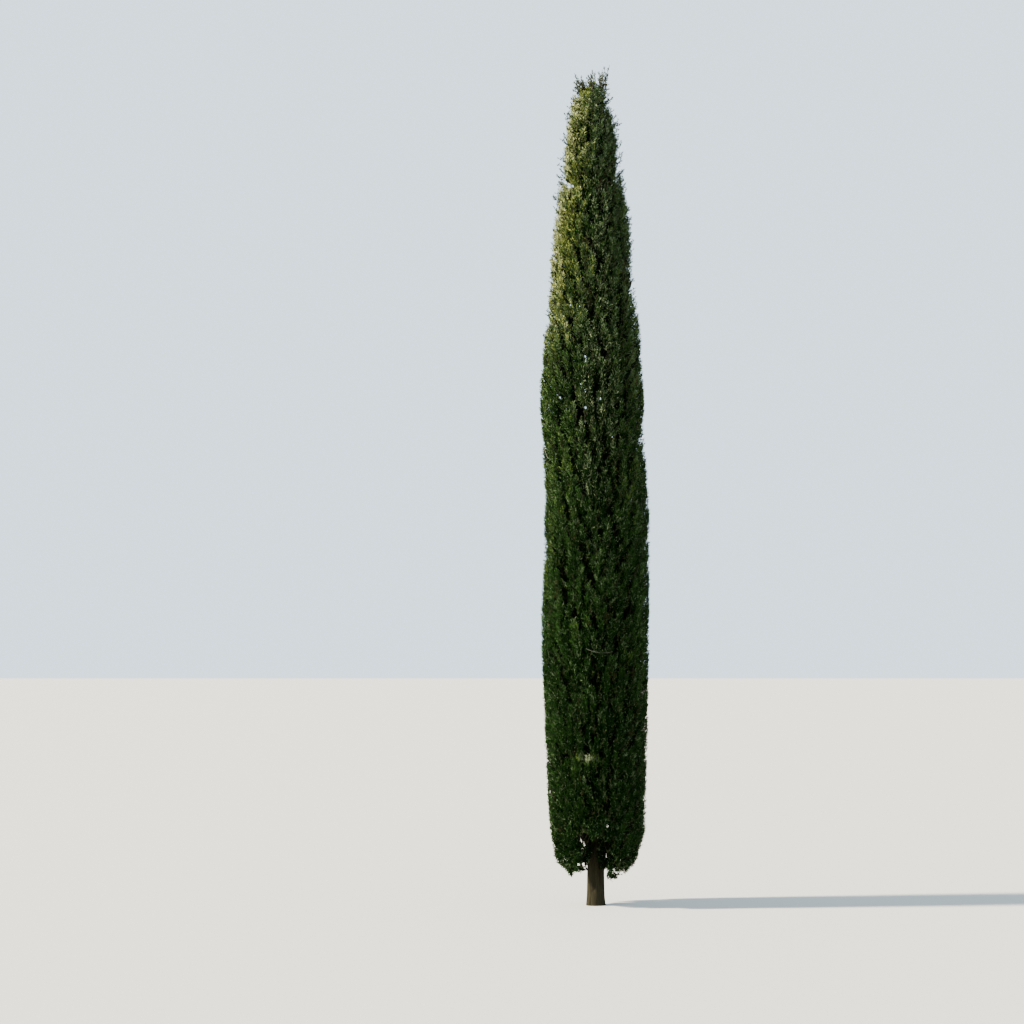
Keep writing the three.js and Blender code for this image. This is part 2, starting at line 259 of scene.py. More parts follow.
# The crown's lower edge: waves (how many round it, and where they start), arches in front of and
# behind the trunk and two small lobes that hang below it (angle, rise, and half widths in degrees
# at the top and at the foot)
EDGE_LOWEST = 206
EDGE_WAVE = 26
EDGE_WAVES = [(3, 0.4), (7, 2)]
ARCHES = [
    (266, 262, 14, 27),
    (300, -28, 5, 16),
    (316, -26, 5, 14),
    (92, 215, 16, 34),
]

# Tufts that hang at the lower edge and inside it, and tufts that fill the crown's top
HANGING_HEIGHT = 330
HANGING_LIFT = -82
HANGING_SHORTER = 0.3
UNDER_TUFTS = 84
UNDER_RADIUS = (84, 121)
UNDER_RISE = (30, 90)
UNDER_LENGTH = (90, 50)
UNDER_LEAN = 0.4
UNDER_LEAN_SPREAD = 1.4
# How much painted shade the tufts inside the lower edge get, as a share of a groove's
UNDER_SHADE = 0.8
TOP_TUFTS = 46
TOP_RADIUS = 108
TOP_SHIFT = -22
TOP_HEIGHT = 5890
TOP_TILT = 0.3
TOP_DROP = 135
TOP_JITTER = 40
TOP_LEAN = (0.25, 0.4)
TOP_LENGTH = (110, 50)

# Leaders: thin shoots that stand out of the top in bunches, each bunch with the place of its root
# and of its tips
LEADERS = {
    (-62, 0, 5770): [
        (-138, -20, 5952),
        (-122, 30, 5932),
        (-141, 12, 5900),
        (-132, -34, 5872),
        (-146, 4, 5838),
        (-92, -46, 5920),
        (-84, 40, 5908),
        (-60, -10, 5892),
        (-104, 62, 5880),
        (-75, 10, 5906),
        (-118, -8, 5910),
        (-128, 20, 5862),
    ],
    (-12, 0, 5780): [
        (-8, 10, 5990),
        (-42, -22, 5938),
        (14, -30, 5962),
        (-16, 48, 5950),
        (-22, -84, 5926),
        (12, 92, 5922),
        (-30, 18, 5900),
    ],
    (38, 0, 5760): [
        (121, 8, 6021),
        (86, -26, 5998),
        (66, 22, 5990),
        (100, 40, 5972),
        (44, -10, 5968),
        (108, -14, 5944),
        (70, -60, 5942),
        (62, 70, 5934),
        (96, 16, 5905),
        (104, -30, 5874),
        (106, 10, 5842),
        (48, -48, 5920),
    ],
}
LEADER_BARE = 0.15
LEADER_SPRIGS = 9
LEADER_SPRIG_LENGTH = 30
LEADER_SHOOTS = 4
LEADER_SHOOT_WIDTH = 4.4

# Stray shoots that stand out all over the crown, and the far ones at its sides (side, height)
STRAYS = 2300
STRAYS_AT_TOP = 420
STRAY_LENGTH = 82
STRAY_LIFT = (24, 34)
STRAY_LEAN_SPREAD = 0.8
STRAY_ABOVE_EDGE = 20
STRAY_BEYOND = 84
STRAY_BEYOND_POWER = 0.7
BEYOND_AT_FOOT = 1.07
STRAY_SPRIGS = 5
STRAY_SPRIG_LENGTH = 21
STRAY_SHOOTS = 2
STRAY_SHOOT_WIDTH = 4.2
STRAY_SEED = 500
FAR_STRAY_BEYOND = 90
FAR_STRAY_RUN = 80
FAR_STRAY_RISE = 60
FAR_STRAYS = [
    (142, 5775),
    (138, 5650),
    (196, 5588),
    (163, 5467),
    (198, 5218),
    (219, 4991),
    (269, 4860),
    (-176, 5584),
    (-194, 5665),
    (-220, 5371),
    (-256, 5159),
    (-303, 5057),
    (-293, 4809),
    (-373, 4047),
    (364, 3506),
]
WAND_RADIUS = 2.4
WAND_TIP_RADIUS = 1.3
WAND_RINGS = 4

# The sprigs of a leader or a stray: how far up it they stand, how they lean out from its foot to
# its tip, and how long they are there
WAND_SPRIG_PLACES = 0.88
WAND_SPRIG_LEAN = (56, -26)
WAND_SPRIG_LEAN_SPREAD = 24
WAND_SPRIG_SIZE = (1.25, -0.5)
WAND_SPRIG_SIZE_SPREAD = (0.75, 0.5)

# Sprigs round a tuft, and how far out of the crown their tips may stand
SPRIGS = 28
SPRIG_BEYOND = 30
SPRIG_PLACES = 0.86
SPRIG_SETBACK = 4
SPRIG_LENGTH = (29, 21)
SPRIG_LEAN_FOOT = 52
SPRIG_LEAN_TOP = 17
SPRIG_LEAN_SPREAD = 28
SPRIG_RISE = 0.15
SPRIG_CURVE = 0.12

# The shoots of a sprig: their places along it, how they part from it, and their sizes as shares
# of the sprig's length. The last one is its main shoot
SHOOTS = 5
SHOOT_PLACES = (0.06, 0.86)
SHOOT_PLACE_JITTER = 0.7
SHOOT_ANGLE = 41
SHOOT_ANGLE_SPREAD = 30
SHOOT_TILT = 1.9
SHOOT_RISE = 0.15
SHOOT_WIDTH = 3.2
SHOOT_WIDEST = 0.4
SHOOT_FOLD = 0.55
SHOOT_SHARE_FOOT = 0.64
SHOOT_SHARE_TIP = 0.36
SHOOT_LENGTH = (0.8, 0.4)
MAIN_SHOOT_LENGTH = 1.02
MAIN_SHOOT_WIDTH = 0.8

# The most triangles that one piece may have
PIECE_TRIANGLES = 190000

# Dark foliage inside the crown, coarser than the rest; its near-black green is partly painted shade
INNER_TUFTS = 4600
INNER_DEPTH = (50, 160)
INNER_LENGTH = 190
INNER_LENGTH_SHARE = (0.6, 0.4)
INNER_THINNEST = 0.35
INNER_FOOT_DEPTH = 12
INNER_LEAST_RISE = 20
INNER_TURN_SPREAD = 0.3
INNER_TOP_MARGIN = 60
INNER_SHOOTS = 5
INNER_WIDTH = 14

# Places where the sky shows through the crown from the front: how far to the side and how high,
# half width and half height. The places along a shoot that are tested against them, and the
# share of shoots that are let through
SHOOT_PROBES = 3
INNER_PROBES = 8
RAGGED_SHARE = 0.012
OPENINGS = [
    (144, 5170, 5, 5),
    (-205, 5154, 14, 8),
    (-180, 5133, 17, 15),
    (-150, 5124, 12, 9),
    (-95, 4631, 3, 5),
    (-132, 4282, 5, 9),
    (-168, 4261, 4, 7),
    (-103, 4261, 4, 7),
    (83, 4015, 4, 6),
    (104, 3935, 3, 6),
    (-61, 3892, 3, 9),
    (-140, 3863, 5, 5),
    (-61, 3856, 4, 9),
    (-97, 3697, 3, 6),
    (-90, 3675, 3, 6),
    (-69, 3654, 3, 6),
    (-62, 3632, 3, 8),
    (-262, 3618, 6, 4),
    (-241, 3596, 8, 4),
    (46, 3589, 3, 8),
    (31, 3574, 3, 5),
    (-62, 3524, 3, 9),
    (-198, 3517, 4, 4),
    (-69, 3416, 3, 5),
    (38, 3359, 3, 6),
    (131, 3315, 5, 5),
    (-127, 3301, 3, 5),
    (-92, 3014, 3, 7),
    (94, 640, 7, 7),
    (86, 555, 9, 11),
    (-90, 457, 7, 21),
    (-76, 422, 6, 12),
    (-91, 387, 8, 12),
    (79, 345, 5, 16),
    (-119, 283, 11, 8),
    (-84, 283, 9, 12),
]

# Places where the crown swells a little, or falls in: height, angle, half height and half width,
# and how far out
SWELLS = [
    (3530, 182, 200, 150, 28),
    (3003, 180, 110, 100, -12),
    (1544, 180, 220, 150, 14),
    (3640, 0, 170, 150, 22),
    (1430, 0, 220, 150, 16),
    (2375, 0, 200, 150, 8),
    (5118, 182, 66, 80, 32),
    (5208, 182, 42, 80, -24),
    (5290, 182, 60, 80, -16),
    (4062, 180, 130, 120, 14),
    (5775, 180, 90, 80, 30),
    (4062, 350, 110, 100, 9),
    (5342, 0, 80, 80, -8),
    (3218, 0, 90, 90, 8),
    (4700, 182, 120, 100, 12),
]

# Places where the foliage is lighter or darker: height, angle, half height and half width, tone
TONE_PLACES = [
    (5330, 302, 130, 42, -0.8),
    (4930, 282, 170, 52, -1.5),
    (4790, 254, 72, 36, -1.8),
    (4740, 226, 55, 34, -1.6),
    (5000, 274, 50, 38, -1.2),
    (5679, 314, 72, 38, 0.8),
    (5532, 320, 90, 46, 1.9),
    (5230, 322, 90, 46, 1.9),
    (5620, 248, 82, 52, 1.1),
    (5860, 290, 90, 120, -0.9),
    (3300, 202, 330, 66, 1.6),
    (2600, 198, 300, 50, 1.1),
    (1190, 204, 120, 60, 1.2),
    (4870, 264, 90, 40, -0.9),
    (4840, 226, 80, 40, -1.5),
    (4416, 328, 110, 50, 1.9),
    (3830, 330, 92, 56, 1.8),
    (4350, 230, 72, 34, -1.4),
    (4506, 258, 90, 46, 0.6),
    (4360, 252, 82, 50, 0.7),
    (4240, 246, 82, 46, 0.9),
    (4095, 231, 120, 80, 1.3),
    (3990, 267, 90, 52, -2.3),
    (4200, 281, 60, 40, -0.9),
    (3891, 224, 62, 52, -1.2),
    (3662, 272, 120, 72, -1.0),
    (3505, 250, 110, 60, 2.6),
    (4080, 240, 90, 50, 1.2),
    (3960, 238, 60, 50, 1.0),
    (3640, 222, 110, 90, -1.1),
    (3221, 260, 110, 38, 0.8),
    (2950, 252, 92, 82, -0.9),
    (1915, 249, 130, 58, 1.1),
    (1760, 272, 110, 62, -1.2),
    (2631, 204, 130, 62, 0.7),
    (1640, 205, 110, 90, -1.8),
    (1425, 296, 80, 66, 1.8),
    (1700, 308, 120, 60, 1.0),
    (3300, 270, 90, 90, 0.9),
    (1169, 266, 150, 92, -0.8),
    (1038, 256, 30, 76, 7.5),
    (955, 241, 34, 36, 2.2),
    (905, 218, 46, 60, 0.8),
    (5520, 321, 60, 30, 2.0),
    (5235, 320, 60, 30, 1.6),
    (4400, 328, 60, 34, 1.7),
    (3800, 329, 70, 38, 1.1),
    (4870, 284, 60, 34, -2.1),
    (4360, 257, 110, 30, 1.5),
    (2946, 261, 70, 44, -1.3),
    (5173, 233, 50, 34, -0.9),
    (3376, 256, 50, 34, -0.9),
    (412, 250, 50, 40, 0.6),
    (5569, 251, 50, 34, 0.6),
    (3467, 200, 60, 40, -1.6),
    (2750, 333, 70, 44, -1.9),
]

# Thin dry twigs: height, angle and depth of both ends, and sideways bow
DRY_TWIGS = [
    (1800, 258, -2, 1778, 286, -4, 34),
    (3150, 196, 14, 3262, 184, -12, 12),
    (2320, 350, 14, 2440, 2, -10, -12),
]
DRY_TWIG_RADIUS = 1.9
DRY_TWIG_TIP_RADIUS = 0.8
DRY_TWIG_RINGS = 9
DRY_TWIG_SIDES = 5

# Tones of the greens, from 0 for the darkest up by one for each green: the start, the rise along
# a tuft and along a sprig, and how they scatter
BASE_TONE = 1.48
TUFT_TONE_SPREAD = 0.5
# The rise along a tuft and along a sprig is partly fresh tips and partly painted shade at their
# feet
TUFT_TONE = 1.9
SPRIG_TONE_SPREAD = 1.5
SHOOT_TONE = 1.8
SHOOT_TONE_SPREAD = 3.0
# The tones scatter more high up, as painted sun and shade, and less on the sun's side low down; the
# lightest green allowed rises with height, as painted shade low down
LOW_CONTRAST = 0.45
HIGH_CONTRAST = 2.0
LOW_LIGHTEST = 2.9
LIGHTER_RISE = (0.42, 0.68)
OLIVE_SPAN = 1.98
CALM = 0.38

# Painted sun and shade: foliage that faces away from the sun has grey and silver, as painted shade,
# for its lightest greens, and painted glints of them among the dark ones; on the sun's side they
# are yellow, as painted sunlight. The sun's side begins high up, and the two sides run into each
# other
SUN_EDGE = (3500, 5200)
SHADE_EDGE = 0.31
SHADE_BLUR = 0.6
PAINTED_GLINT_SHARE = 0.18
GREY_SHARE = 0.04

# Between the two sides, at the middle heights (shares of the crown's top), the foliage is darker,
# as painted shade, with more painted glints, and some of them are silver
MIXED_SIDE = (0.2, 0.6)
MIXED_RISE = (0.4, 0.58, 0.84, 0.92)
MIXED_PAINTED_SHADE = -1.1
MIXED_PAINTED_GLINTS = 0.09
MIXED_SILVER = 0.45

# Some tufts are partly dry
DRY_TUFTS = 0.05
DRY_SHARE = 0.22

# Painted sunlight and shade: the side that faces the sun gets lighter greens, most of all high up,
# the crown's top gets lighter and its foot darker, and the side away from the sun is darker high up
# and lighter low down
SUNNY_SIDE = 184
PAINTED_SUN_TONE = 3.75
LOW_PAINTED_SUN_TONE = 0.8
SUNNY_EDGE = (3600, 4400)
SUNNY_SHARPNESS = 1.8
PAINTED_SHADE_TONE = 1.7
SHADY_HEIGHT = 0.52
PAINTED_LIGHT_RISE = 2.2
SUNNY_HEIGHT = 0.6

# Plain base colours that are dealt out by shoot: name, dark colour, light colour, gloss
# olive and pale are the lightest greens as painted sunlight and painted highlights, grey and silver
# the same greens as painted shade and the colours of painted glints
GREENS = [
    ("deep", (0.0007, 0.0064, 0.0004), (0.003, 0.0143, 0.0014), 0.025),
    ("dark", (0.003, 0.0142, 0.0013), (0.0071, 0.0252, 0.0032), 0.03),
    ("mid", (0.0082, 0.0275, 0.0036), (0.0168, 0.0465, 0.0082), 0.045),
    ("fresh", (0.031, 0.056, 0.0085), (0.061, 0.095, 0.0195), 0.06),
    ("olive", (0.094, 0.116, 0.0175), (0.182, 0.207, 0.054), 0.07),
    ("pale", (0.19, 0.212, 0.078), (0.35, 0.37, 0.2), 0.1),
    ("grey", (0.029, 0.052, 0.02), (0.069, 0.1, 0.048), 0.09),
    ("silver", (0.096, 0.125, 0.06), (0.2, 0.235, 0.132), 0.09),
    ("rust", (0.013, 0.013, 0.004), (0.03, 0.026, 0.009), 0.05),
]
OLIVE, PALE, GREY, SILVER, RUST = range(4, 9)
LEAF_GLOSS = 0.05
INNER_GLOSS = 0.02
TWIG_GLOSS = 0.2
BARK_GLOSS = 0.1
LEADER_COLOURS = ((0.01, 0.014, 0.007), (0.07, 0.078, 0.04))
STRAY_COLOURS = ((0.004, 0.015, 0.002), (0.026, 0.046, 0.011))
INNER_COLOURS_WITH_PAINTED_SHADE = ((0.0003, 0.0024, 0.0002), (0.0018, 0.005, 0.0007))
TWIG_COLOURS = ((0.006, 0.005, 0.002), (0.018, 0.014, 0.007))
DRY_COLOURS = ((0.055, 0.058, 0.044), (0.13, 0.13, 0.1))
GREY_BARK = ((0.0058, 0.0055, 0.0023), (0.025, 0.0238, 0.0118))
BROWN_BARK = ((0.0027, 0.0021, 0.0006), (0.0118, 0.0094, 0.0034))

# Patterns of the materials: repeats per metre, repeats upwards as a share of them, and detail.
# Then where a pattern's low and high values lie, and the share that it has in a colour or a bump
LEAF_PATCHES = (26, 1, 3)
LEAF_PATCH_ENDS = (0.35, 0.65)
LEAF_PATCH_SHARE = 0.7
LEAF_SCALES = (420, 0.5, 1)
TWIG_GRAIN = (300, 0.12, 3)
BARK_FLAKES = (9, 0.5, 2)
BARK_FLAKE_ENDS = (0.4, 0.62)
BARK_RIDGES = (40, 0.14, 4)
BARK_RIDGE_ENDS = (0.35, 0.68)
BARK_RIDGE_SHARE = 0.75
BARK_THREADS = (330, 0.06, 3)
BARK_THREAD_SHARE = 0.6

# Roughness, and the strength of the bumps with their depth in metres
LEAF_ROUGHNESS = (0.42, 0.2)
TWIG_ROUGHNESS = (0.7, 0.2)
BARK_ROUGHNESS = (0.82, 0.14)
LEAF_BUMPS = (0.25, 0.001)
TWIG_BUMPS = (0.3, 0.0008)
BARK_BUMPS = (0.55, 0.003)

# The Mix node's sockets for colours
MIX_SHARE = 0
MIX_FIRST = 6
MIX_SECOND = 7
MIX_COLOUR = 2

# Stage, in metres, and light: name, where it comes from (angle, and degrees above the ground),
# strength, softness in degrees and colour
FLOOR_SIZE = 600
FLOOR_COLOUR = (0.33, 0.325, 0.31, 1)
FLOOR_ROUGHNESS = 0.9
FLOOR_GLOSS = 0.5
SKY_COLOUR = (0.72, 0.88, 1.0, 1)
SKY_STRENGTH = 2.1
SUNS = [
    ("key", 187, 36, 30, 4, (1.0, 0.89, 0.7)),
    ("fill", 285, 35, 0.3, 60, (0.94, 0.97, 1.0)),
]

# Camera: its place in metres, its lens and sensor in millimetres. It looks up because the horizon
# lies under the middle of the photograph, by so many of its pixels
CAMERA_PLACE = (-0.588, -15.18, 1.721)
CAMERA_LENS = 75
CAMERA_SENSOR = 36
CAMERA_REACH = 200
HORIZON_DROP = 148
LENS_IN_PIXELS = 2133
CAMERA_TILT = math.atan(HORIZON_DROP / LENS_IN_PIXELS)


def chance(a, b):
    """A repeatable share from 0 to 1 for a pair of numbers, which looks like chance."""
    x = np.sin(a * 12.9898 + b * 78.233) * 43758.5453
    return x - np.floor(x)


def varied(size, a, b):
    """A size's least value and, by chance, some of how much more it may be."""
    least, more = size
    return least + more * chance(a, b)


def scatter(spread, a, b):
    """A chance value to either side of 0, with the two ends a spread apart."""
    return spread * (chance(a, b) - 0.5)


def unit(vectors):
    """The vectors with a length of 1."""
    return vectors / np.linalg.norm(vectors, axis=-1, keepdims=True)


def smooth(x, low, high):
    """A smooth step from 0 at low to 1 at high."""
    t = np.clip((x - low) / (high - low), 0, 1)
    return t * t * (3 - 2 * t)


def facing(angle):
    """A level unit vector for each angle in radians."""
    return np.stack([np.cos(angle), np.sin(angle), np.zeros_like(angle)], axis=-1)


def frames(direction):
    """Two unit vectors square to each direction and to each other."""
    steep = np.abs(direction[..., 2:]) > STEEP
    side = unit(np.cross(direction, np.where(steep, RIGHT, UP)))
    return side, np.cross(direction, side)


# The tree's own sizes, as in the part's source


def crown_at(height):
    """The crown's reach and the place of its middle at a height."""
    reach = np.interp(height, OUTLINE[:, 0], OUTLINE[:, 1])
    return reach, np.interp(height, OUTLINE[:, 0], OUTLINE[:, 2])


def crown_point(height, angle, depth):
    """A point at a depth under the crown's surface."""
    reach, shift = crown_at(height)
    point = facing(angle) * np.maximum(reach - depth, LEAST_REACH)[..., None]
    point[..., 0] += shift
    point[..., 2] = height
    return point


def trunk_shift(height):
    """How far the trunk's middle is to the right at a height, along a smooth step."""
    t = np.clip((height - LEAN_START) / (LEAN_END - LEAN_START), 0, 1)
    return -TRUNK_LEAN * t**3 * (t * (6 * t - 15) + 10)


def trunk_radius(height):
    """The trunk's radius at a height, without its flutes and its bark."""
    left = np.clip(1 - height / TRUNK_HEIGHT, 0, 1)
    taper = TRUNK_TIP_RADIUS + (TRUNK_RADIUS - TRUNK_TIP_RADIUS) * left**TRUNK_TAPER
    return taper + FLARE_WIDTH * np.exp(-height / FLARE_HEIGHT)


def bough_radii(height):
    """How thick a bough is where it leaves the trunk at a height, and at its tip."""
    root = min(BOUGH_RADIUS, BOUGH_TO_TRUNK * trunk_radius(height))
    return root, root * BOUGH_TAPER


class Plume:
    """One upright mass of foliage: its place, the sides of its space, its line and its bough."""

    def __init__(self, seed, level, number):
        count, middle, turn, self.tier_sprays, self.foot, self.top, self.hollow = TIERS[level]
        self.seed = seed
        self.level = level
        self.label = f"{level + 1}_{number + 1}"
        jitter = TURN_JITTER * (2 * chance(seed, 1) - 1)
        self.angle = math.radians(turn + 360 * number / count + jitter)
        height = middle + scatter(MIDDLE_JITTER, seed, 2)
        reach, shift = crown_at(height)
        self.outward = facing(np.array(self.angle))
        self.centre = self.outward * reach * (self.foot + self.top) / 2
        self.centre += np.array([shift, 0, height])

    def find_sides(self, plumes):
        """The flat sides of the space, each halfway to a neighbour, and one clear of the trunk."""
        squash = np.array([1, 1, 1 / SPACE_STRETCH**2])
        normals = []
        limits = []
        for other in plumes:
            apart = abs(other.centre[2] - self.centre[2])
            if other is self or apart >= NEIGHBOUR_TIERS * TIER_PITCH:
                continue
            normal = (other.centre - self.centre) * squash
            between = (other.outward + self.outward) / 2
            if other.level != self.level and np.linalg.norm(between) > SAME_SIDE:
                outward = normal @ between / (between @ between)
                normal = normal + between * (-outward - SHINGLE_SLOPE * normal[2])
            normal = unit(normal)
            normals.append(normal)
            limits.append(normal @ (other.centre + self.centre) / 2 - SPACE_MARGIN)
        low = self.centre[2] - TIER_PITCH / 2
        for_bough = trunk_radius(low) + 2 * bough_radii(low)[1] + HOLLOW_LEAST
        self.clear = max(self.hollow * crown_at(low)[0], for_bough)
        trunk_middle = RIGHT * trunk_shift(self.centre[2])
        self.clear += self.outward @ trunk_middle
        normals.append(-self.outward)
        limits.append(-self.clear)
        self.normals = np.array(normals)
        self.limits = np.array(limits)

    def outside_by(self, points):
        """How far points are outside the space: below zero inside it."""
        return (points @ self.normals.T - self.limits).max(axis=-1)

    def line_at(self, height):
        """The point of the plume's own line at a height."""
        reach, shift = crown_at(height)
        rise = np.clip((height - self.centre[2]) / TIER_PITCH + 0.5, 0, 1)
        out = (self.foot + (self.top - self.foot) * rise) * (reach - CORE_DEPTH / 3)
        point = self.outward * np.asarray(out)[..., None]
        point[..., 0] += shift
        point[..., 2] = height
        return point

    def find_line(self):
        """How far down and up the plume's line runs."""
        self.low = self.line_end(-LINE_STEP)
        self.high = self.line_end(LINE_STEP)

    def line_end(self, step):
        """The height where the plume's line ends, found by steps from its middle."""
        height = self.centre[2]
        while CORE_LOWEST < height + step < CORE_HIGHEST:
            if self.outside_by(self.line_at(height + step)) > -CORE_END_MARGIN:
                break
            height += step
        return height

    def find_bough(self):
        """The bough's line from the middle of the trunk to where it enters the plume."""
        height = self.low + (self.high - self.low) * BOUGH_JOIN
        join = self.line_at(height)
        trunk_middle = np.array([trunk_shift(height), 0, height])
        span = (join - trunk_middle) @ self.outward
        start = trunk_middle - UP * span * BOUGH_RISE * BOUGH_START
        middle = start + (join - start) * BOUGH_MIDDLE - UP * span * BOUGH_SAG
        self.radii = bough_radii(start[2])
        share, longest = BOUGH_SHARES
        while share < longest:
            point = bend(start, middle, join, np.array(share))
            if point @ self.outward >= self.clear - self.radii[1] - BOUGH_END_MARGIN:
                break
            share += BOUGH_SHARE_STEP
        self.bough = bend(start, middle, join, np.linspace(0, share, BOUGH_RINGS))
        tip = self.bough[-1]
        onward = unit(tip - self.bough[-2])
        first = [tip + onward * GAP, tip + onward * STEM_RUN, join + UP * STEM_TURN]
        upright = STEM_RINGS - len(first)
        heights = np.linspace(join[2] + STEM_UPRIGHT, self.high + STEM_BEYOND, upright)
        self.stem = np.vstack([*first, self.line_at(heights)])

    def find_sprays(self):
        """Where the middle of each spray is, as they wind round the plume's line."""
        i = np.arange(self.tier_sprays + TIP_SPRAYS)
        at_tip = i >= self.tier_sprays
        lowest, span = SPRAY_PLACES
        share = np.where(at_tip, 1, lowest + span * (i + 0.5) / self.tier_sprays)
        swing = np.radians(SPRAY_FAN) * (np.mod(i * GOLDEN, 1) - 0.5)
        round_tip = 2 * np.pi * (i + chance(self.seed, 3)) / TIP_SPRAYS
        out = facing(self.angle + np.where(at_tip, round_tip, swing))
        middle = self.line_at(self.low + (self.high - self.low) * share)
        hangs = (self.level == 0) & (share < HANGING_SHARE)
        usual = SPRAY_LIFT + SPRAY_LIFT_RISE * share + SPRAY_LIFT_SPREAD * chance(self.seed, i)
        lift = np.where(at_tip, varied(TIP_LIFT, self.seed, i), usual)
        lift = np.where(hangs, varied(HANGING_SPRAY_LIFT, self.seed, i), lift)
        lift = np.radians(lift)[:, None]
        direction = out * np.cos(lift) + UP * np.sin(lift)
        at_foot = (1 - smooth(share, 0, FOOT_SHARE)) * (self.level == 0)
        depth = SPRAY_DEPTH * (CORE_DEPTH + (FOOT_DEPTH - CORE_DEPTH) * at_foot)
        plump = np.sin(np.pi * np.minimum(share, 1) ** PLUMP_FOOT).clip(0) ** PLUMP_SIDES
        room = np.minimum(CORE_RADIUS * plump * SPRAY_ROOM, self.room_along(middle, out))
        room = np.minimum(room, room_to_surface(middle, out, depth))
        out_by = np.maximum(0, room - np.where(hangs, HANGING_TUCK, TUCK))
        self.sprays = middle + out * out_by[:, None] + direction * SPRAY_LENGTH * SPRAY_MIDDLE

    def room_along(self, points, direction):
        """How far rays from points run before they leave the space."""
        speed = direction @ self.normals.T
        room = (self.limits - points @ self.normals.T) / np.maximum(speed, 1e-6)
        return np.where(speed > 1e-6, room, np.inf).min(axis=-1)


def room_to_surface(points, direction, depth):
    """How far level rays from points run before they are at a depth under the surface."""
    reach, shift = crown_at(points[:, 2])
    radius = np.maximum(LEAST_ROOM, reach - depth)
    x = points[:, 0] - shift
    along = x * direction[:, 0] + points[:, 1] * direction[:, 1]
    under = along**2 - (x**2 + points[:, 1] ** 2 - radius**2)
    return np.where(under > 0, np.sqrt(np.maximum(under, 0)) - along, 0)


def bend(start, middle, end, share):
    """Points along a curve from start to end that leans towards middle."""
    t = np.asarray(share)[..., None]
    return start * (1 - t) ** 2 + middle * 2 * t * (1 - t) + end * t * t


def grow_plumes():
    """All the plumes from the ground up, each with its line, its bough and its sprays."""
    plumes = []
    for level, tier in enumerate(TIERS):
        for number in range(tier[0]):
            plumes.append(Plume(len(plumes) + 1, level, number))
    for plume in plumes:
        plume.find_sides(plumes)
        plume.find_line()
        plume.find_bough()
        plume.find_sprays()
    return plumes


# Meshes from arrays


def make_piece(name, vertices, faces, material, slot, nodes, shade_smooth=False):
    """A mesh object in metres that stands for CAD nodes and moves with the tree."""
    mesh = bpy.data.meshes.new(name)
    corners = faces.shape[1]
    mesh.vertices.add(len(vertices))
    mesh.vertices.foreach_set("co", (vertices * MM).astype(np.float32).ravel())
    mesh.loops.add(faces.size)
    mesh.loops.foreach_set("vertex_index", faces.astype(np.int32).ravel())
    mesh.polygons.add(len(faces))
    mesh.polygons.foreach_set("loop_start", np.arange(0, faces.size, corners, dtype=np.int32))
    mesh.polygons.foreach_set("use_smooth", np.full(len(faces), shade_smooth))
    mesh.update(calc_edges=True)
    mesh.validate()
    mesh.materials.append(material)
    piece = bpy.data.objects.new(name, mesh)
    bpy.context.scene.collection.objects.link(piece)
    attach(piece, "root")
    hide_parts(*nodes)


def join_arrays(*parts):
    """Several sets of vertices and faces as one."""
    starts = np.cumsum([0] + [len(vertices) for vertices, faces in parts])
    faces = [part[1] + start for part, start in zip(parts, starts)]
    return np.vstack([part[0] for part in parts]), np.vstack(faces)


def ring_quads(rings, sides):
    """The quads between each ring of points and the next."""
    here = np.arange(rings - 1)[:, None] * sides + np.arange(sides)
    following = np.arange(rings - 1)[:, None] * sides + (np.arange(sides) + 1) % sides
    return np.stack([here, following, following + sides, here + sides], axis=-1)


def tube_arrays(lines, radii, sides):
    """Vertices and faces of many limbs: lines is (limbs, rings, 3) and radii (limbs, rings)."""
    limbs, rings = radii.shape
    side, other = frames(unit(np.gradient(lines, axis=1)))
    turn = 2 * np.pi * np.arange(sides) / sides
    around = side[:, :, None] * np.cos(turn)[:, None] + other[:, :, None] * np.sin(turn)[:, None]
    vertices = lines[:, :, None] + around * radii[:, :, None, None]
    first = (np.arange(limbs) * rings * sides)[:, None, None, None]
    return vertices.reshape(-1, 3), (ring_quads(rings, sides) + first).reshape(-1, 4)


def thin_limbs(lines, root_radius, tip_radius, sides):
    """Vertices and faces of many limbs that taper alike."""
    taper = np.linspace(root_radius, tip_radius, lines.shape[1])
    return tube_arrays(lines, np.repeat(taper[None], len(lines), axis=0), sides)


def shoot_arrays(root, direction, length, width, twist):
    """Vertices and triangles of pointed shoots, each a small blade folded along its middle."""
    side, other = frames(direction)
    turn = twist[..., None]
    across = side * np.cos(turn) + other * np.sin(turn)
    lift = np.cross(direction, across)
    widest = root + direction * (SHOOT_WIDEST * length)[..., None]
    widest = widest + lift * (SHOOT_FOLD * width)[..., None]
    half = across * width[..., None]
    tip = root + direction * length[..., None]
    vertices = np.stack([root, widest - half, tip, widest + half], axis=-2).reshape(-1, 3)
    first = np.arange(0, len(vertices), 4)[:, None, None]
    faces = np.array([[0, 2, 1], [0, 3, 2]]) + first
    return vertices, faces.reshape(-1, 3)


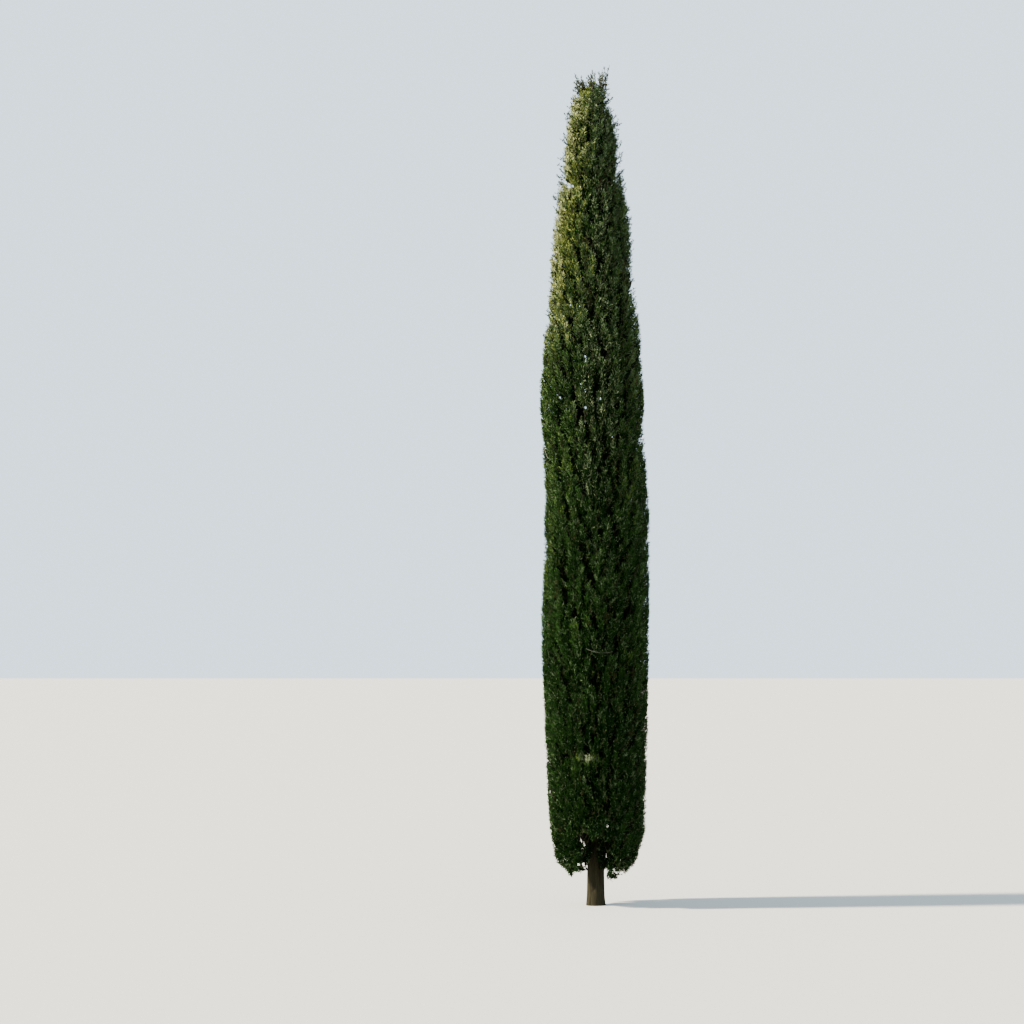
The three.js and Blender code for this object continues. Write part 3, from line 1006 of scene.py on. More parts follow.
def sprig_shoots(base, direction, length, number, shoots, width):
    """Sprigs as feathers: side shoots that part left and right, and last a main shoot.

    The shoots' roots, directions, lengths, widths and twists, and their places along the sprig.
    """
    side, other = frames(direction)
    roll = 2 * np.pi * chance(number, 5)[:, None]
    flat = side * np.cos(roll) + other * np.sin(roll)
    lift = np.cross(direction, flat)
    k = np.arange(shoots)
    seed = number[:, None] * 1.37 + k * 0.73
    first, span = SHOOT_PLACES
    along = first + span * (k + SHOOT_PLACE_JITTER * chance(seed, 7)) / shoots
    stem = direction[:, None] * along[..., None] + UP * (SPRIG_CURVE * along**2)[..., None]
    root = base[:, None] + stem * length[:, None, None]
    tilt = scatter(SHOOT_TILT, seed, 8)
    sideways = np.where(k % 2 == 0, 1.0, -1.0) * np.cos(tilt)
    out = flat[:, None] * sideways[..., None] + lift[:, None] * np.sin(tilt)[..., None]
    spread = np.radians(SHOOT_ANGLE + scatter(SHOOT_ANGLE_SPREAD, seed, 9))
    heading = direction[:, None] * np.cos(spread)[..., None] + out * np.sin(spread)[..., None]
    heading = unit(heading + UP * SHOOT_RISE)
    share = SHOOT_SHARE_FOOT + (SHOOT_SHARE_TIP - SHOOT_SHARE_FOOT) * along
    reach = length[:, None] * share * varied(SHOOT_LENGTH, seed, 10)
    main = unit(direction + UP * SPRIG_CURVE)
    roots = np.concatenate([root, base[:, None]], axis=1)
    headings = np.concatenate([heading, main[:, None]], axis=1)
    lengths = np.concatenate([reach, MAIN_SHOOT_LENGTH * length[:, None]], axis=1)
    widths = np.full_like(lengths, width)
    widths[:, -1] *= MAIN_SHOOT_WIDTH
    twists = 2 * np.pi * chance(number[:, None] * 1.37 + np.arange(shoots + 1) * 0.61, 11)
    places = np.concatenate([along, np.ones((len(base), 1))], axis=1)
    return roots, headings, lengths, widths, twists, places


def open_sprigs(base, direction, length, number, shoots, width, probes):
    """Vertices and triangles of sprigs, without the shoots that would cover an opening."""
    parts = sprig_shoots(base, direction, length, number, shoots, width)[:-1]
    kept = ~blocks_opening(*parts[:3], width, probes)
    return shoot_arrays(*(values[kept] for values in parts))


# Foliage


def turned_from(angle, degrees):
    """How far angles in radians are turned from one in degrees, to either side."""
    return np.mod(angle - math.radians(degrees) + np.pi, 2 * np.pi) - np.pi


def lower_edge(angle):
    """The height of the crown's wavy lower edge, with its arches and lobes."""
    wave = sum(np.cos(count * angle + start) for count, start in EDGE_WAVES)
    edge = EDGE_LOWEST + EDGE_WAVE * (1 + wave / len(EDGE_WAVES))
    for turn, rise, narrow, wide in ARCHES:
        away = np.degrees(np.abs(turned_from(angle, turn)))
        edge = edge + rise * (1 - smooth(away, narrow, wide))
    return edge


def spread_over_crown(count, seed, highest=TUFT_HIGHEST, extra=AREA_EXTRA):
    """Heights and angles spread evenly over the crown, in height order.

    The more extra reach is counted everywhere, the closer they stand at the narrow top.
    """
    grid = np.linspace(EDGE_LOWEST, highest, AREA_STEPS)
    area = np.cumsum(crown_at(grid)[0] + extra)
    number = np.arange(count)
    height = np.interp((number + 0.5) / count, area / area[-1], grid)
    height = height + scatter(HEIGHT_JITTER, number, seed)
    angle = 2 * np.pi * (number * GOLDEN + TURN_SCATTER * chance(number, seed + 1))
    edge = lower_edge(angle)
    above = (height - EDGE_LOWEST) * (EDGE_FELT - edge) / (EDGE_FELT - EDGE_LOWEST)
    raised = np.maximum(edge + above, edge)
    return np.where(height < EDGE_FELT, raised, np.minimum(height, highest)), angle


def owners(points, plumes):
    """The plume whose space holds each point, and how deep inside that space it is."""
    outside = np.stack([plume.outside_by(points) for plume in plumes])
    owner = outside.argmin(axis=0)
    return owner, -outside.min(axis=0)


def spray_grooves(points, plumes):
    """Where points lie between two sprays, 1 in the groove and 0 on a spray, and which is near."""
    stretch = np.array([1, 1, SPRAY_STRETCH])
    sprays = np.vstack([plume.sprays for plume in plumes]) * stretch
    apart = np.linalg.norm(points[:, None] * stretch - sprays, axis=-1)
    nearest = np.partition(apart, 1, axis=-1)[:, :2]
    clear = (nearest[:, 1] - nearest[:, 0]) / nearest.sum(axis=-1)
    return 1 - smooth(clear, 0, SPRAY_GROOVE_WIDTH), apart.argmin(axis=-1)


def sum_of_places(points, places):
    """The values of places added up, each fading out round its height and angle."""
    reach, shift = crown_at(points[:, 2])
    turn = np.arctan2(points[:, 1], points[:, 0] - shift)
    total = np.zeros(len(points))
    for height, angle, tall, wide, value in places:
        sideways = turned_from(turn, angle) * reach / wide
        total += value * np.exp(-(((points[:, 2] - height) / tall) ** 2 + sideways**2))
    return total


def grow_tufts(plumes):
    """Each tuft's seat and tip, the plume that carries it, and its tone, with painted shade in a
    groove.
    """
    height, angle = spread_over_crown(TUFTS, 21)
    number = np.arange(TUFTS)
    skin = crown_point(height, angle, TUFT_OWNER_DEPTH)
    owner, inside = owners(skin, plumes)
    low = np.array([plume.low for plume in plumes])[owner]
    level = np.array([plume.level for plume in plumes])[owner]
    thin = crown_at(height)[0] / FULL_REACH
    relief = LOW_RELIEF + (1 - LOW_RELIEF) * smooth(height, *RELIEF_HEIGHT)
    plume_groove = 1 - smooth(inside, 0, GROOVE_WIDTH)
    spray_groove, spray = spray_grooves(skin, plumes)
    foot = (1 - smooth(height - low, *PLUME_FOOT_HEIGHT)) * (level > 0)
    groove = GROOVE_DEPTH * plume_groove + SPRAY_GROOVE_DEPTH * spray_groove
    groove = (groove + PLUME_FOOT_DEPTH * foot) * thin * relief
    depth = TUFT_TIP_DEPTH * relief * chance(number, 27) ** TUFT_DEPTH_POWER
    depth = depth + groove - TUFT_BEYOND * thin
    depth = depth - SKIRT_BEYOND * (1 - smooth(height, *SKIRT_HEIGHT))
    depth = depth + TOP_TAPER * np.maximum(height - TOP_TAPER_START, 0)
    depth = depth - sum_of_places(skin, SWELLS)
    tip_angle = angle + scatter(TUFT_TURN_SPREAD, number, 26)
    tip = crown_point(height, tip_angle, depth)
    hanging = 1 - smooth(height - lower_edge(angle), 0, HANGING_HEIGHT)
    lift = TUFT_LIFT + scatter(TUFT_LIFT_SPREAD, number, 25) + TUFT_LIFT_AT_TOP * (1 - thin)
    lift = np.radians(lift + (HANGING_LIFT - TUFT_LIFT) * hanging)[:, None]
    lean = facing(tip_angle + scatter(TUFT_LEAN_SPREAD, number, 28))
    direction = lean * np.cos(lift) + UP * np.sin(lift)
    length = varied(TUFT_LENGTH, number, 24) * (THIN_LENGTH + (1 - THIN_LENGTH) * thin)
    length = length * (1 - HANGING_SHORTER * hanging)
    seat = tip - direction * length[:, None]
    # Painted shade: tufts in a groove between plumes or sprays get darker greens
    tone = GROOVE_PAINTED_SHADE * relief * np.maximum(plume_groove, SPRAY_GROOVE_SHADE * spray_groove)
    tone = tone + scatter(SPRAY_TONE, spray, 47) + scatter(PLUME_TONE, owner, 42)
    return seat, tip, owner, tone


def grow_under_tufts(plumes):
    """Short tufts that hang inside the crown's lower edge, beside the trunk."""
    number = np.arange(UNDER_TUFTS)
    angle = 2 * np.pi * (number * GOLDEN)
    tip = facing(angle) * varied(UNDER_RADIUS, number, 81)[:, None]
    tip[:, 2] = lower_edge(angle) + varied(UNDER_RISE, number, 82)
    lean = facing(angle + scatter(UNDER_LEAN_SPREAD, number, 83))
    direction = unit(lean * UNDER_LEAN - UP)
    seat = tip - direction * varied(UNDER_LENGTH, number, 84)[:, None]
    # Painted shade under the crown: these tufts get darker greens
    return seat, tip, owners(seat, plumes)[0], np.full(UNDER_TUFTS, UNDER_SHADE * GROOVE_PAINTED_SHADE)


def grow_top_tufts(plumes):
    """Tufts that fill the middle of the crown's top."""
    number = np.arange(TOP_TUFTS)
    share = (number + 0.5) / TOP_TUFTS
    angle = 2 * np.pi * (number * GOLDEN)
    tip = facing(angle) * (TOP_RADIUS * np.sqrt(share))[:, None]
    tip[:, 0] += TOP_SHIFT
    tip[:, 2] += TOP_TILT * tip[:, 0]
    tip[:, 2] += TOP_HEIGHT - TOP_DROP * share - TOP_JITTER * chance(number, 86)
    middle_lean, more_lean = TOP_LEAN
    direction = unit(facing(angle) * (middle_lean + more_lean * share)[:, None] + UP)
    seat = tip - direction * varied(TOP_LENGTH, number, 87)[:, None]
    return seat, tip, owners(seat, plumes)[0], np.zeros(TOP_TUFTS)


def grow_sprigs(seat, tip):
    """Sprigs round each tuft: base, direction, length, share along the tuft, tuft number."""
    tufts = len(seat)
    tuft = np.repeat(np.arange(tufts), SPRIGS)
    order = np.tile(np.arange(SPRIGS), tufts)
    number = np.arange(tufts * SPRIGS)
    share = (order + chance(number, 31)) / SPRIGS
    line = tip - seat
    axis = unit(line)[tuft]
    side, other = frames(axis)
    around = 2 * np.pi * (order * GOLDEN + chance(tuft, 32))[:, None]
    radial = side * np.cos(around) + other * np.sin(around)
    lean = SPRIG_LEAN_FOOT + (SPRIG_LEAN_TOP - SPRIG_LEAN_FOOT) * share
    lean = np.radians(lean + scatter(SPRIG_LEAN_SPREAD, number, 33))[:, None]
    rising = np.where(axis[:, 2:] > 0, SPRIG_RISE, 0.0)
    direction = unit(axis * np.cos(lean) + radial * np.sin(lean) + UP * rising)
    base = seat[tuft] + line[tuft] * (SPRIG_PLACES * share)[:, None] + radial * SPRIG_SETBACK
    length = varied(SPRIG_LENGTH, number, 34)
    base = pull_in(base, base + direction * length[:, None], SPRIG_BEYOND)
    return base, direction, length, share, tuft


def pull_in(base, tip, beyond):
    """Bases moved so that no tip stands out of the crown by more than so much."""
    reach, shift = crown_at(tip[:, 2])
    reach = reach + beyond * (BEYOND_AT_FOOT - reach / WIDEST)
    flat = tip[:, :2] - np.stack([shift, np.zeros_like(shift)], axis=-1)
    radius = np.linalg.norm(flat, axis=1)
    over = np.maximum(radius - reach, 0) / np.maximum(radius, 1)
    moved = base.copy()
    moved[:, :2] -= flat * over[:, None]
    moved[:, 2] -= np.maximum(tip[:, 2] - CROWN_TOP, 0)
    moved[:, 2] += np.maximum(CROWN_FOOT - tip[:, 2], 0)
    return moved


def blocks_opening(roots, headings, lengths, width, probes):
    """Which shoots would cover an opening, as it is seen from the camera's place.

    Some points along each shoot are tested. A few shoots are let through all the same, so that
    the openings have ragged edges.
    """
    camera = np.array(CAMERA_PLACE) / MM
    margin = width / 3
    blocks = np.zeros(lengths.shape, bool)
    for share in (np.arange(probes) + 0.5) / probes:
        points = roots + headings * (lengths * share)[..., None]
        reach = camera[1] / (camera[1] - points[..., 1])
        x = camera[0] + (points[..., 0] - camera[0]) * reach
        z = camera[2] + (points[..., 2] - camera[2]) * reach
        for side, height, wide, tall in OPENINGS:
            apart = ((x - side) / (wide + margin)) ** 2 + ((z - height) / (tall + margin)) ** 2
            blocks |= apart < 1
    return blocks & (chance(roots[..., 2], roots[..., 0]) > RAGGED_SHARE)


def deal_greens(share, tuft, sprig_tone, place_tone, rise, place, sun, low_sun):
    """Which of the greens each shoot takes: lighter towards the tips of its tuft and its sprig.

    share is how far up its tuft a sprig stands, place how far up its sprig a shoot does, and rise
    how high the tuft is in the crown. sun and low_sun say how much it faces the sun, high up and
    low down. The lightest greens are yellow on the side that gets the sun, as painted sunlight, and
    grey and silver on the other, as painted shade, with painted glints of them among the dark ones.
    """
    number = np.arange(len(share))[:, None]
    seed = number * 1.7 + np.arange(SHOOTS + 1)
    # Painted sun and shade: the tones scatter more high up and less on the sun's side low down
    contrast = (LOW_CONTRAST + (HIGH_CONTRAST - LOW_CONTRAST) * rise**2)[:, None]
    contrast = contrast * (1 - CALM * np.maximum(low_sun, 0))[:, None]
    mixed = np.interp(rise, MIXED_RISE, (0, 1, 1, 0))
    mixed = (mixed * (1 - smooth(np.abs(sun + low_sun), *MIXED_SIDE)))[:, None]
    tone = (BASE_TONE + sprig_tone + TUFT_TONE_SPREAD * chance(tuft, 41))[:, None]
    # Painted shade between the two sides, at the middle heights
    tone = tone + MIXED_PAINTED_SHADE * mixed
    # Darker at the feet of a tuft and a sprig, lighter at their tips: partly fresh tips, partly
    # painted shade
    tone = tone + contrast * TUFT_TONE * (share[:, None] - 0.5)
    tone = tone + scatter(contrast * SPRIG_TONE_SPREAD, number, 43)
    tone = tone + contrast * SHOOT_TONE * (place - 0.5)
    tone = tone + scatter(contrast * SHOOT_TONE_SPREAD, seed, 48)
    # Painted shade low down: the lower crown gets no light greens
    lightest = LOW_LIGHTEST + (PALE + 1 - LOW_LIGHTEST) * smooth(rise, *LIGHTER_RISE)
    tone = np.minimum(tone, lightest[:, None]) + place_tone[:, None]
    # Painted sun and shade: away from the sun the lightest greens turn grey and silver in place of
    # yellow
    shade = (sun + scatter(SHADE_BLUR, number[:, 0], 55) < SHADE_EDGE)[:, None]
    tone = np.where(tone > OLIVE, OLIVE + (tone - OLIVE) / OLIVE_SPAN, tone)
    tone = np.clip(tone, 0, PALE).astype(int)
    tone = np.where(shade & (tone >= OLIVE), tone + GREY - OLIVE, tone)
    # Painted glints: grey and silver shoots, and whole grey sprigs, among the dark ones in the
    # shade
    painted_glint = chance(seed, 49) < PAINTED_GLINT_SHARE * contrast + MIXED_PAINTED_GLINTS * mixed
    painted_glint = painted_glint | (chance(number, 44) < GREY_SHARE)
    painted_glint_green = np.where(chance(seed, 50) < MIXED_SILVER * mixed, SILVER, GREY)
    tone = np.where(painted_glint & shade & (tone < OLIVE), painted_glint_green, tone)
    dry = chance(tuft, 45)[:, None] < DRY_TUFTS
    return np.where(dry & (chance(number, 46) < DRY_SHARE), RUST, tone)


def add_foliage(plumes, nodes):
    """The plumes' leaves, joined by their green. Gives the tufts' seats and plumes."""
    tufts = zip(grow_tufts(plumes), grow_under_tufts(plumes), grow_top_tufts(plumes))
    seat, tip, owner, tone = (np.concatenate(kinds) for kinds in tufts)
    base, direction, length, share, tuft = grow_sprigs(seat, tip)
    towards_sun = np.cos(np.arctan2(tip[:, 1], tip[:, 0]) - math.radians(SUNNY_SIDE))
    rise = tip[:, 2] / CROWN_TOP
    # Painted sunlight and shade: lighter greens towards the sun and at the top, darker low down
    painted_sun = LOW_PAINTED_SUN_TONE + (PAINTED_SUN_TONE - LOW_PAINTED_SUN_TONE) * smooth(tip[:, 2], *SUNNY_EDGE)
    tone = tone + painted_sun * np.maximum(towards_sun, 0) ** SUNNY_SHARPNESS
    tone = tone + PAINTED_SHADE_TONE * np.minimum(towards_sun, 0) * (rise - SHADY_HEIGHT)
    tone = tone + PAINTED_LIGHT_RISE * (rise - SUNNY_HEIGHT)
    place_tone = sum_of_places(base + direction * (length / 2)[:, None], TONE_PLACES)
    number = np.arange(len(base)).astype(float)
    *shoots, place = sprig_shoots(base, direction, length, number, SHOOTS, SHOOT_WIDTH)
    sun = (towards_sun * smooth(tip[:, 2], *SUN_EDGE))[tuft]
    low_sun = towards_sun[tuft] - sun
    green = deal_greens(share, tuft, tone[tuft], place_tone, rise[tuft], place, sun, low_sun)
    green[blocks_opening(*shoots[:3], SHOOT_WIDTH, SHOOT_PROBES)] = -1
    for index, (name, dark, light, gloss) in enumerate(GREENS):
        material = leaf_material(f"leaves_{name}", dark, light, gloss)
        dealt = np.argwhere(green == index)
        pieces = math.ceil(len(dealt) * 2 / PIECE_TRIANGLES)
        for piece, chosen in enumerate(np.array_split(dealt, pieces)):
            sprig, shoot = chosen.T
            arrays = shoot_arrays(*(values[sprig, shoot] for values in shoots))
            make_piece(f"leaves_{name}_{piece + 1}", *arrays, material, "foliage", nodes)
    return seat, owner


def wand_sprigs(seat, tip, count, size, seed, beyond):
    """A few short sprigs along thin shoots, so that the sky shows between them."""
    wand = np.repeat(np.arange(len(seat)), count)
    order = np.tile(np.arange(count), len(seat))
    number = np.arange(len(wand)).astype(float) + seed
    share = (order + chance(number, 91)) / count
    around = 2 * np.pi * (order * GOLDEN + chance(wand, 92))[:, None]
    axis = unit(tip - seat)[wand]
    side, other = frames(axis)
    lean = WAND_SPRIG_LEAN[0] + WAND_SPRIG_LEAN[1] * share
    lean = np.radians(lean + scatter(WAND_SPRIG_LEAN_SPREAD, number, 93))[:, None]
    radial = side * np.cos(around) + other * np.sin(around)
    direction = unit(radial * np.sin(lean) + axis * np.cos(lean) + UP * SPRIG_RISE)
    length = size * (WAND_SPRIG_SIZE[0] + WAND_SPRIG_SIZE[1] * share)
    length = length * varied(WAND_SPRIG_SIZE_SPREAD, number, 94)
    base = seat[wand] + (tip - seat)[wand] * (WAND_SPRIG_PLACES * share)[:, None]
    tip = base + direction * length[:, None]
    return pull_in(base, tip, beyond), direction, length, number


def grow_leaders():
    """The roots and tips of the leaders at the crown's top, and of the far strays at its sides."""
    tip = np.array([tip for root, tips in LEADERS.items() for tip in tips], float)
    seat = np.array([root for root, tips in LEADERS.items() for tip in tips], float)
    seat = seat + (tip - seat) * LEADER_BARE
    far_tip = np.array([(side, 0, height) for side, height in FAR_STRAYS], float)
    far_run = np.sign(far_tip[:, :1]) * FAR_STRAY_RUN
    far_seat = far_tip - RIGHT * far_run - UP * FAR_STRAY_RISE
    return np.vstack([seat, far_seat]), np.vstack([tip, far_tip])


def grow_strays():
    """The roots and tips of the stray shoots, which stand out furthest where the crown is thin."""
    height, turn = spread_over_crown(STRAYS, 71, extra=STRAYS_AT_TOP)
    number = np.arange(STRAYS)
    beyond = STRAY_BEYOND * (BEYOND_AT_FOOT - crown_at(height)[0] / WIDEST)
    tip = crown_point(height, turn, -beyond * chance(number, 72) ** STRAY_BEYOND_POWER)
    lift = np.radians(varied(STRAY_LIFT, number, 73))[:, None]
    lean = facing(turn + scatter(STRAY_LEAN_SPREAD, number, 74))
    seat = tip - (lean * np.cos(lift) + UP * np.sin(lift)) * STRAY_LENGTH
    seat[:, 2] = np.maximum(seat[:, 2], lower_edge(turn) + STRAY_ABOVE_EDGE)
    return seat, tip


def add_wands(nodes):
    """Leaders that stand out of the crown's top, stray shoots all over it, and their stems."""
    leaders = grow_leaders()
    sprigs = wand_sprigs(*leaders, LEADER_SPRIGS, LEADER_SPRIG_LENGTH, 0, FAR_STRAY_BEYOND)
    shoots = sprig_shoots(*sprigs, LEADER_SHOOTS, LEADER_SHOOT_WIDTH)
    leaves = shoot_arrays(*shoots[:-1])
    material = leaf_material("leaves_leaders", *LEADER_COLOURS)
    make_piece("leaves_leaders", *leaves, material, "foliage", nodes)
    strays = grow_strays()
    sprigs = wand_sprigs(*strays, STRAY_SPRIGS, STRAY_SPRIG_LENGTH, STRAY_SEED, STRAY_BEYOND)
    leaves = open_sprigs(*sprigs, STRAY_SHOOTS, STRAY_SHOOT_WIDTH, SHOOT_PROBES)
    material = leaf_material("leaves_strays", *STRAY_COLOURS)
    make_piece("leaves_strays", *leaves, material, "foliage", nodes)
    seat, tip = (np.vstack(ends)[:, None] for ends in zip(leaders, strays))
    lines = bend(seat, (seat + tip) / 2, tip, np.linspace(0, 1, WAND_RINGS))
    stems = thin_limbs(lines, WAND_RADIUS, WAND_TIP_RADIUS, TWIG_SIDES)
    material = twig_material("wand_stems", *TWIG_COLOURS)
    make_piece("wand_stems", *stems, material, "bark", nodes, True)


def add_inner_foliage(nodes):
    """Coarse, dark foliage that closes the crown behind its outer leaves, partly painted shade."""
    height, angle = spread_over_crown(INNER_TUFTS, 51, TUFT_HIGHEST - INNER_LENGTH)
    number = np.arange(INNER_TUFTS).astype(float)
    thin = INNER_THINNEST + (1 - INNER_THINNEST) * crown_at(height)[0] / FULL_REACH
    depth = varied(INNER_DEPTH, number, 52) * thin
    base = crown_point(height, angle, depth + INNER_FOOT_DEPTH)
    length = INNER_LENGTH * varied(INNER_LENGTH_SHARE, number, 53) * thin
    tip_height = np.minimum(height + length, CROWN_TOP - INNER_TOP_MARGIN)
    tip = crown_point(tip_height, angle + scatter(INNER_TURN_SPREAD, number, 54), depth)
    direction = unit(tip - base)
    base[:, 2] -= np.maximum(0, INNER_LEAST_RISE - (tip_height - height))
    sprigs = (base, direction, length, number)
    leaves = open_sprigs(*sprigs, INNER_SHOOTS, INNER_WIDTH, INNER_PROBES)
    material = leaf_material("leaves_inner", *INNER_COLOURS_WITH_PAINTED_SHADE, INNER_GLOSS)
    make_piece("leaves_inner", *leaves, material, "foliage", nodes)


# Wood


def ripple(across, along, repeat, seed):
    """Smooth noise from 0 to 1 that repeats after a whole number of steps across."""
    i = np.floor(across)
    j = np.floor(along)
    u = smooth(across - i, 0, 1)
    v = smooth(along - j, 0, 1)
    here = np.mod(i, repeat)
    following = np.mod(i + 1, repeat)
    low = chance(here + seed, j) * (1 - u) + chance(following + seed, j) * u
    high = chance(here + seed, j + 1) * (1 - u) + chance(following + seed, j + 1) * u
    return low * (1 - v) + high * v


def bark_relief(angle, height):
    """How far the bark stands out: strips with deep narrow cracks, and fine fibres on them."""
    turn = np.mod(angle / (2 * np.pi), 1)
    swerve = ripple(turn * SWERVES_ROUND, height / SWERVE_LENGTH, SWERVES_ROUND, 3) - 0.5
    turn = turn + SWERVE * swerve
    strip = ripple(turn * BARK_STRIPS, height / BARK_STRIP_LENGTH, BARK_STRIPS, 9)
    crack = (1 - np.abs(2 * strip - 1)) ** BARK_CRACK_POWER
    fibre = ripple(turn * BARK_FIBRES, height / BARK_FIBRE_LENGTH, BARK_FIBRES, 31)
    strips = BARK_STRIP_RISE * np.abs(2 * strip - 1) - BARK_CRACK_DEPTH * crack
    return strips + BARK_FIBRE_RISE * (fibre - 0.5)


def add_trunk():
    """The trunk from its flat cut to its tip, with fine rings where its bark shows."""
    fine = np.arange(0, BARK_FINE_TOP, BARK_FINE_STEP)
    coarse = np.arange(BARK_FINE_TOP, TRUNK_HEIGHT, BARK_COARSE_STEP)
    height = np.concatenate([fine, coarse, [TRUNK_HEIGHT]]).astype(float)[:, None]
    angle = (2 * np.pi * np.arange(BARK_SIDES) / BARK_SIDES)[None]
    narrow = np.cos(NARROW_FLUTES * angle - height / FLUTE_WIND)
    flutes = np.cos(WIDE_FLUTES * angle + WIDE_FLUTE_TURN) + NARROW_FLUTE_SHARE * narrow
    relief = bark_relief(angle, height) * np.minimum(1, trunk_radius(height) / TRUNK_RADIUS)
    radius = trunk_radius(height) * (1 + FLUTE_DEPTH * flutes) + relief
    x = np.cos(angle) * radius + trunk_shift(height)
    y = np.sin(angle) * radius
    rings = np.stack([x, y, height + 0 * angle], axis=-1)
    ends = np.array([[0, 0, 0], [trunk_shift(TRUNK_HEIGHT), 0, TRUNK_HEIGHT]])
    points = np.vstack([rings.reshape(-1, 3), ends])
    quads = ring_quads(len(height), BARK_SIDES).reshape(-1, 4)
    foot_middle = len(points) - 2
    tip_middle = len(points) - 1
    here = np.arange(BARK_SIDES)
    following = (here + 1) % BARK_SIDES
    last = foot_middle - BARK_SIDES
    under = np.stack([following, here, np.full_like(here, foot_middle)], axis=-1)
    over = np.stack([last + here, last + following, np.full_like(here, tip_middle)], axis=-1)
    triangles = np.vstack([quads[:, [0, 1, 2]], quads[:, [0, 2, 3]], under, over])
    make_piece("bark_trunk", points, triangles, bark_material(), "bark", ["trunk"], True)


def add_boughs(plumes):
    """Every bough from the trunk to its plume, a little knotty."""
    lines = np.stack([plume.bough for plume in plumes])
    share = np.linspace(0, 1, BOUGH_RINGS)
    radii = np.stack([p.radii[0] + (p.radii[1] - p.radii[0]) * share for p in plumes])
    knots = varied(BOUGH_KNOTS, np.arange(radii.size).reshape(radii.shape), 61)
    boughs = tube_arrays(lines, radii * knots, BOUGH_SIDES)
    nodes = [f"bough_{plume.label}" for plume in plumes]
    make_piece("bark_boughs", *boughs, bark_material(), "bark", nodes, True)


def add_twigs(plumes, seat, owner, nodes):
    """The plumes' stems, and a twig from its stem to every tuft."""
    stems = np.stack([plume.stem for plume in plumes])
    share = np.linspace(0, 1, STEM_RINGS)
    thick = np.array([plume.radii[1] for plume in plumes])[:, None]
    stems = tube_arrays(stems, thick + (STEM_TIP_RADIUS - thick) * share, STEM_SIDES)
    low = np.array([plume.low for plume in plumes])[owner]
    high = np.array([plume.high for plume in plumes])[owner]
    height = np.clip(seat[:, 2] - TWIG_DROP, low + TWIG_LOWEST, high)
    start = np.stack([plumes[p].line_at(h) for p, h in zip(owner, height)])
    middle = start * (1 - TWIG_MIDDLE) + seat * TWIG_MIDDLE - UP * TWIG_SAG
    lines = bend(start[:, None], middle[:, None], seat[:, None], np.linspace(0, 1, TWIG_RINGS))
    wood = join_arrays(stems, thin_limbs(lines, TWIG_RADIUS, TWIG_TIP_RADIUS, TWIG_SIDES))
    make_piece("twigs", *wood, twig_material("twigs", *TWIG_COLOURS), "bark", nodes, True)


def add_dry_twigs(nodes):
    """A few pale dry twigs that lie on the crown."""
    lines = []
    for low, low_turn, low_depth, high, high_turn, high_depth, bow in DRY_TWIGS:
        start = crown_point(np.array(float(low)), np.radians(low_turn), np.array(low_depth))
        end = crown_point(np.array(float(high)), np.radians(high_turn), np.array(high_depth))
        across = unit(np.cross(end - start, facing(np.radians(np.array(low_turn)))))
        middle = (start + end) / 2 + across * bow
        lines.append(bend(start, middle, end, np.linspace(0, 1, DRY_TWIG_RINGS)))
    twigs = thin_limbs(np.stack(lines), DRY_TWIG_RADIUS, DRY_TWIG_TIP_RADIUS, DRY_TWIG_SIDES)
    material = twig_material("dry_twigs", *DRY_COLOURS)
    make_piece("dry_twigs", *twigs, material, "bark", nodes, True)


# Materials


class Wire:
    """A shader socket that can be added and multiplied."""

    def __init__(self, surface, socket):
        self.surface = surface
        self.socket = socket

    def combine(self, operation, *values):
        inputs = dict(enumerate(values))
        return self.surface.add("ShaderNodeMath", {"operation": operation}, inputs).out(0)

    def __add__(self, other):
        return self.combine("ADD", self, other)

    def __radd__(self, other):
        return self.combine("ADD", other, self)

    def __mul__(self, other):
        return self.combine("MULTIPLY", self, other)

    def __rmul__(self, other):
        return self.combine("MULTIPLY", other, self)


class Node:
    """A shader node of a surface."""

    def __init__(self, surface, node):
        self.surface = surface
        self.node = node

    def out(self, key):
        return Wire(self.surface, self.node.outputs[key])


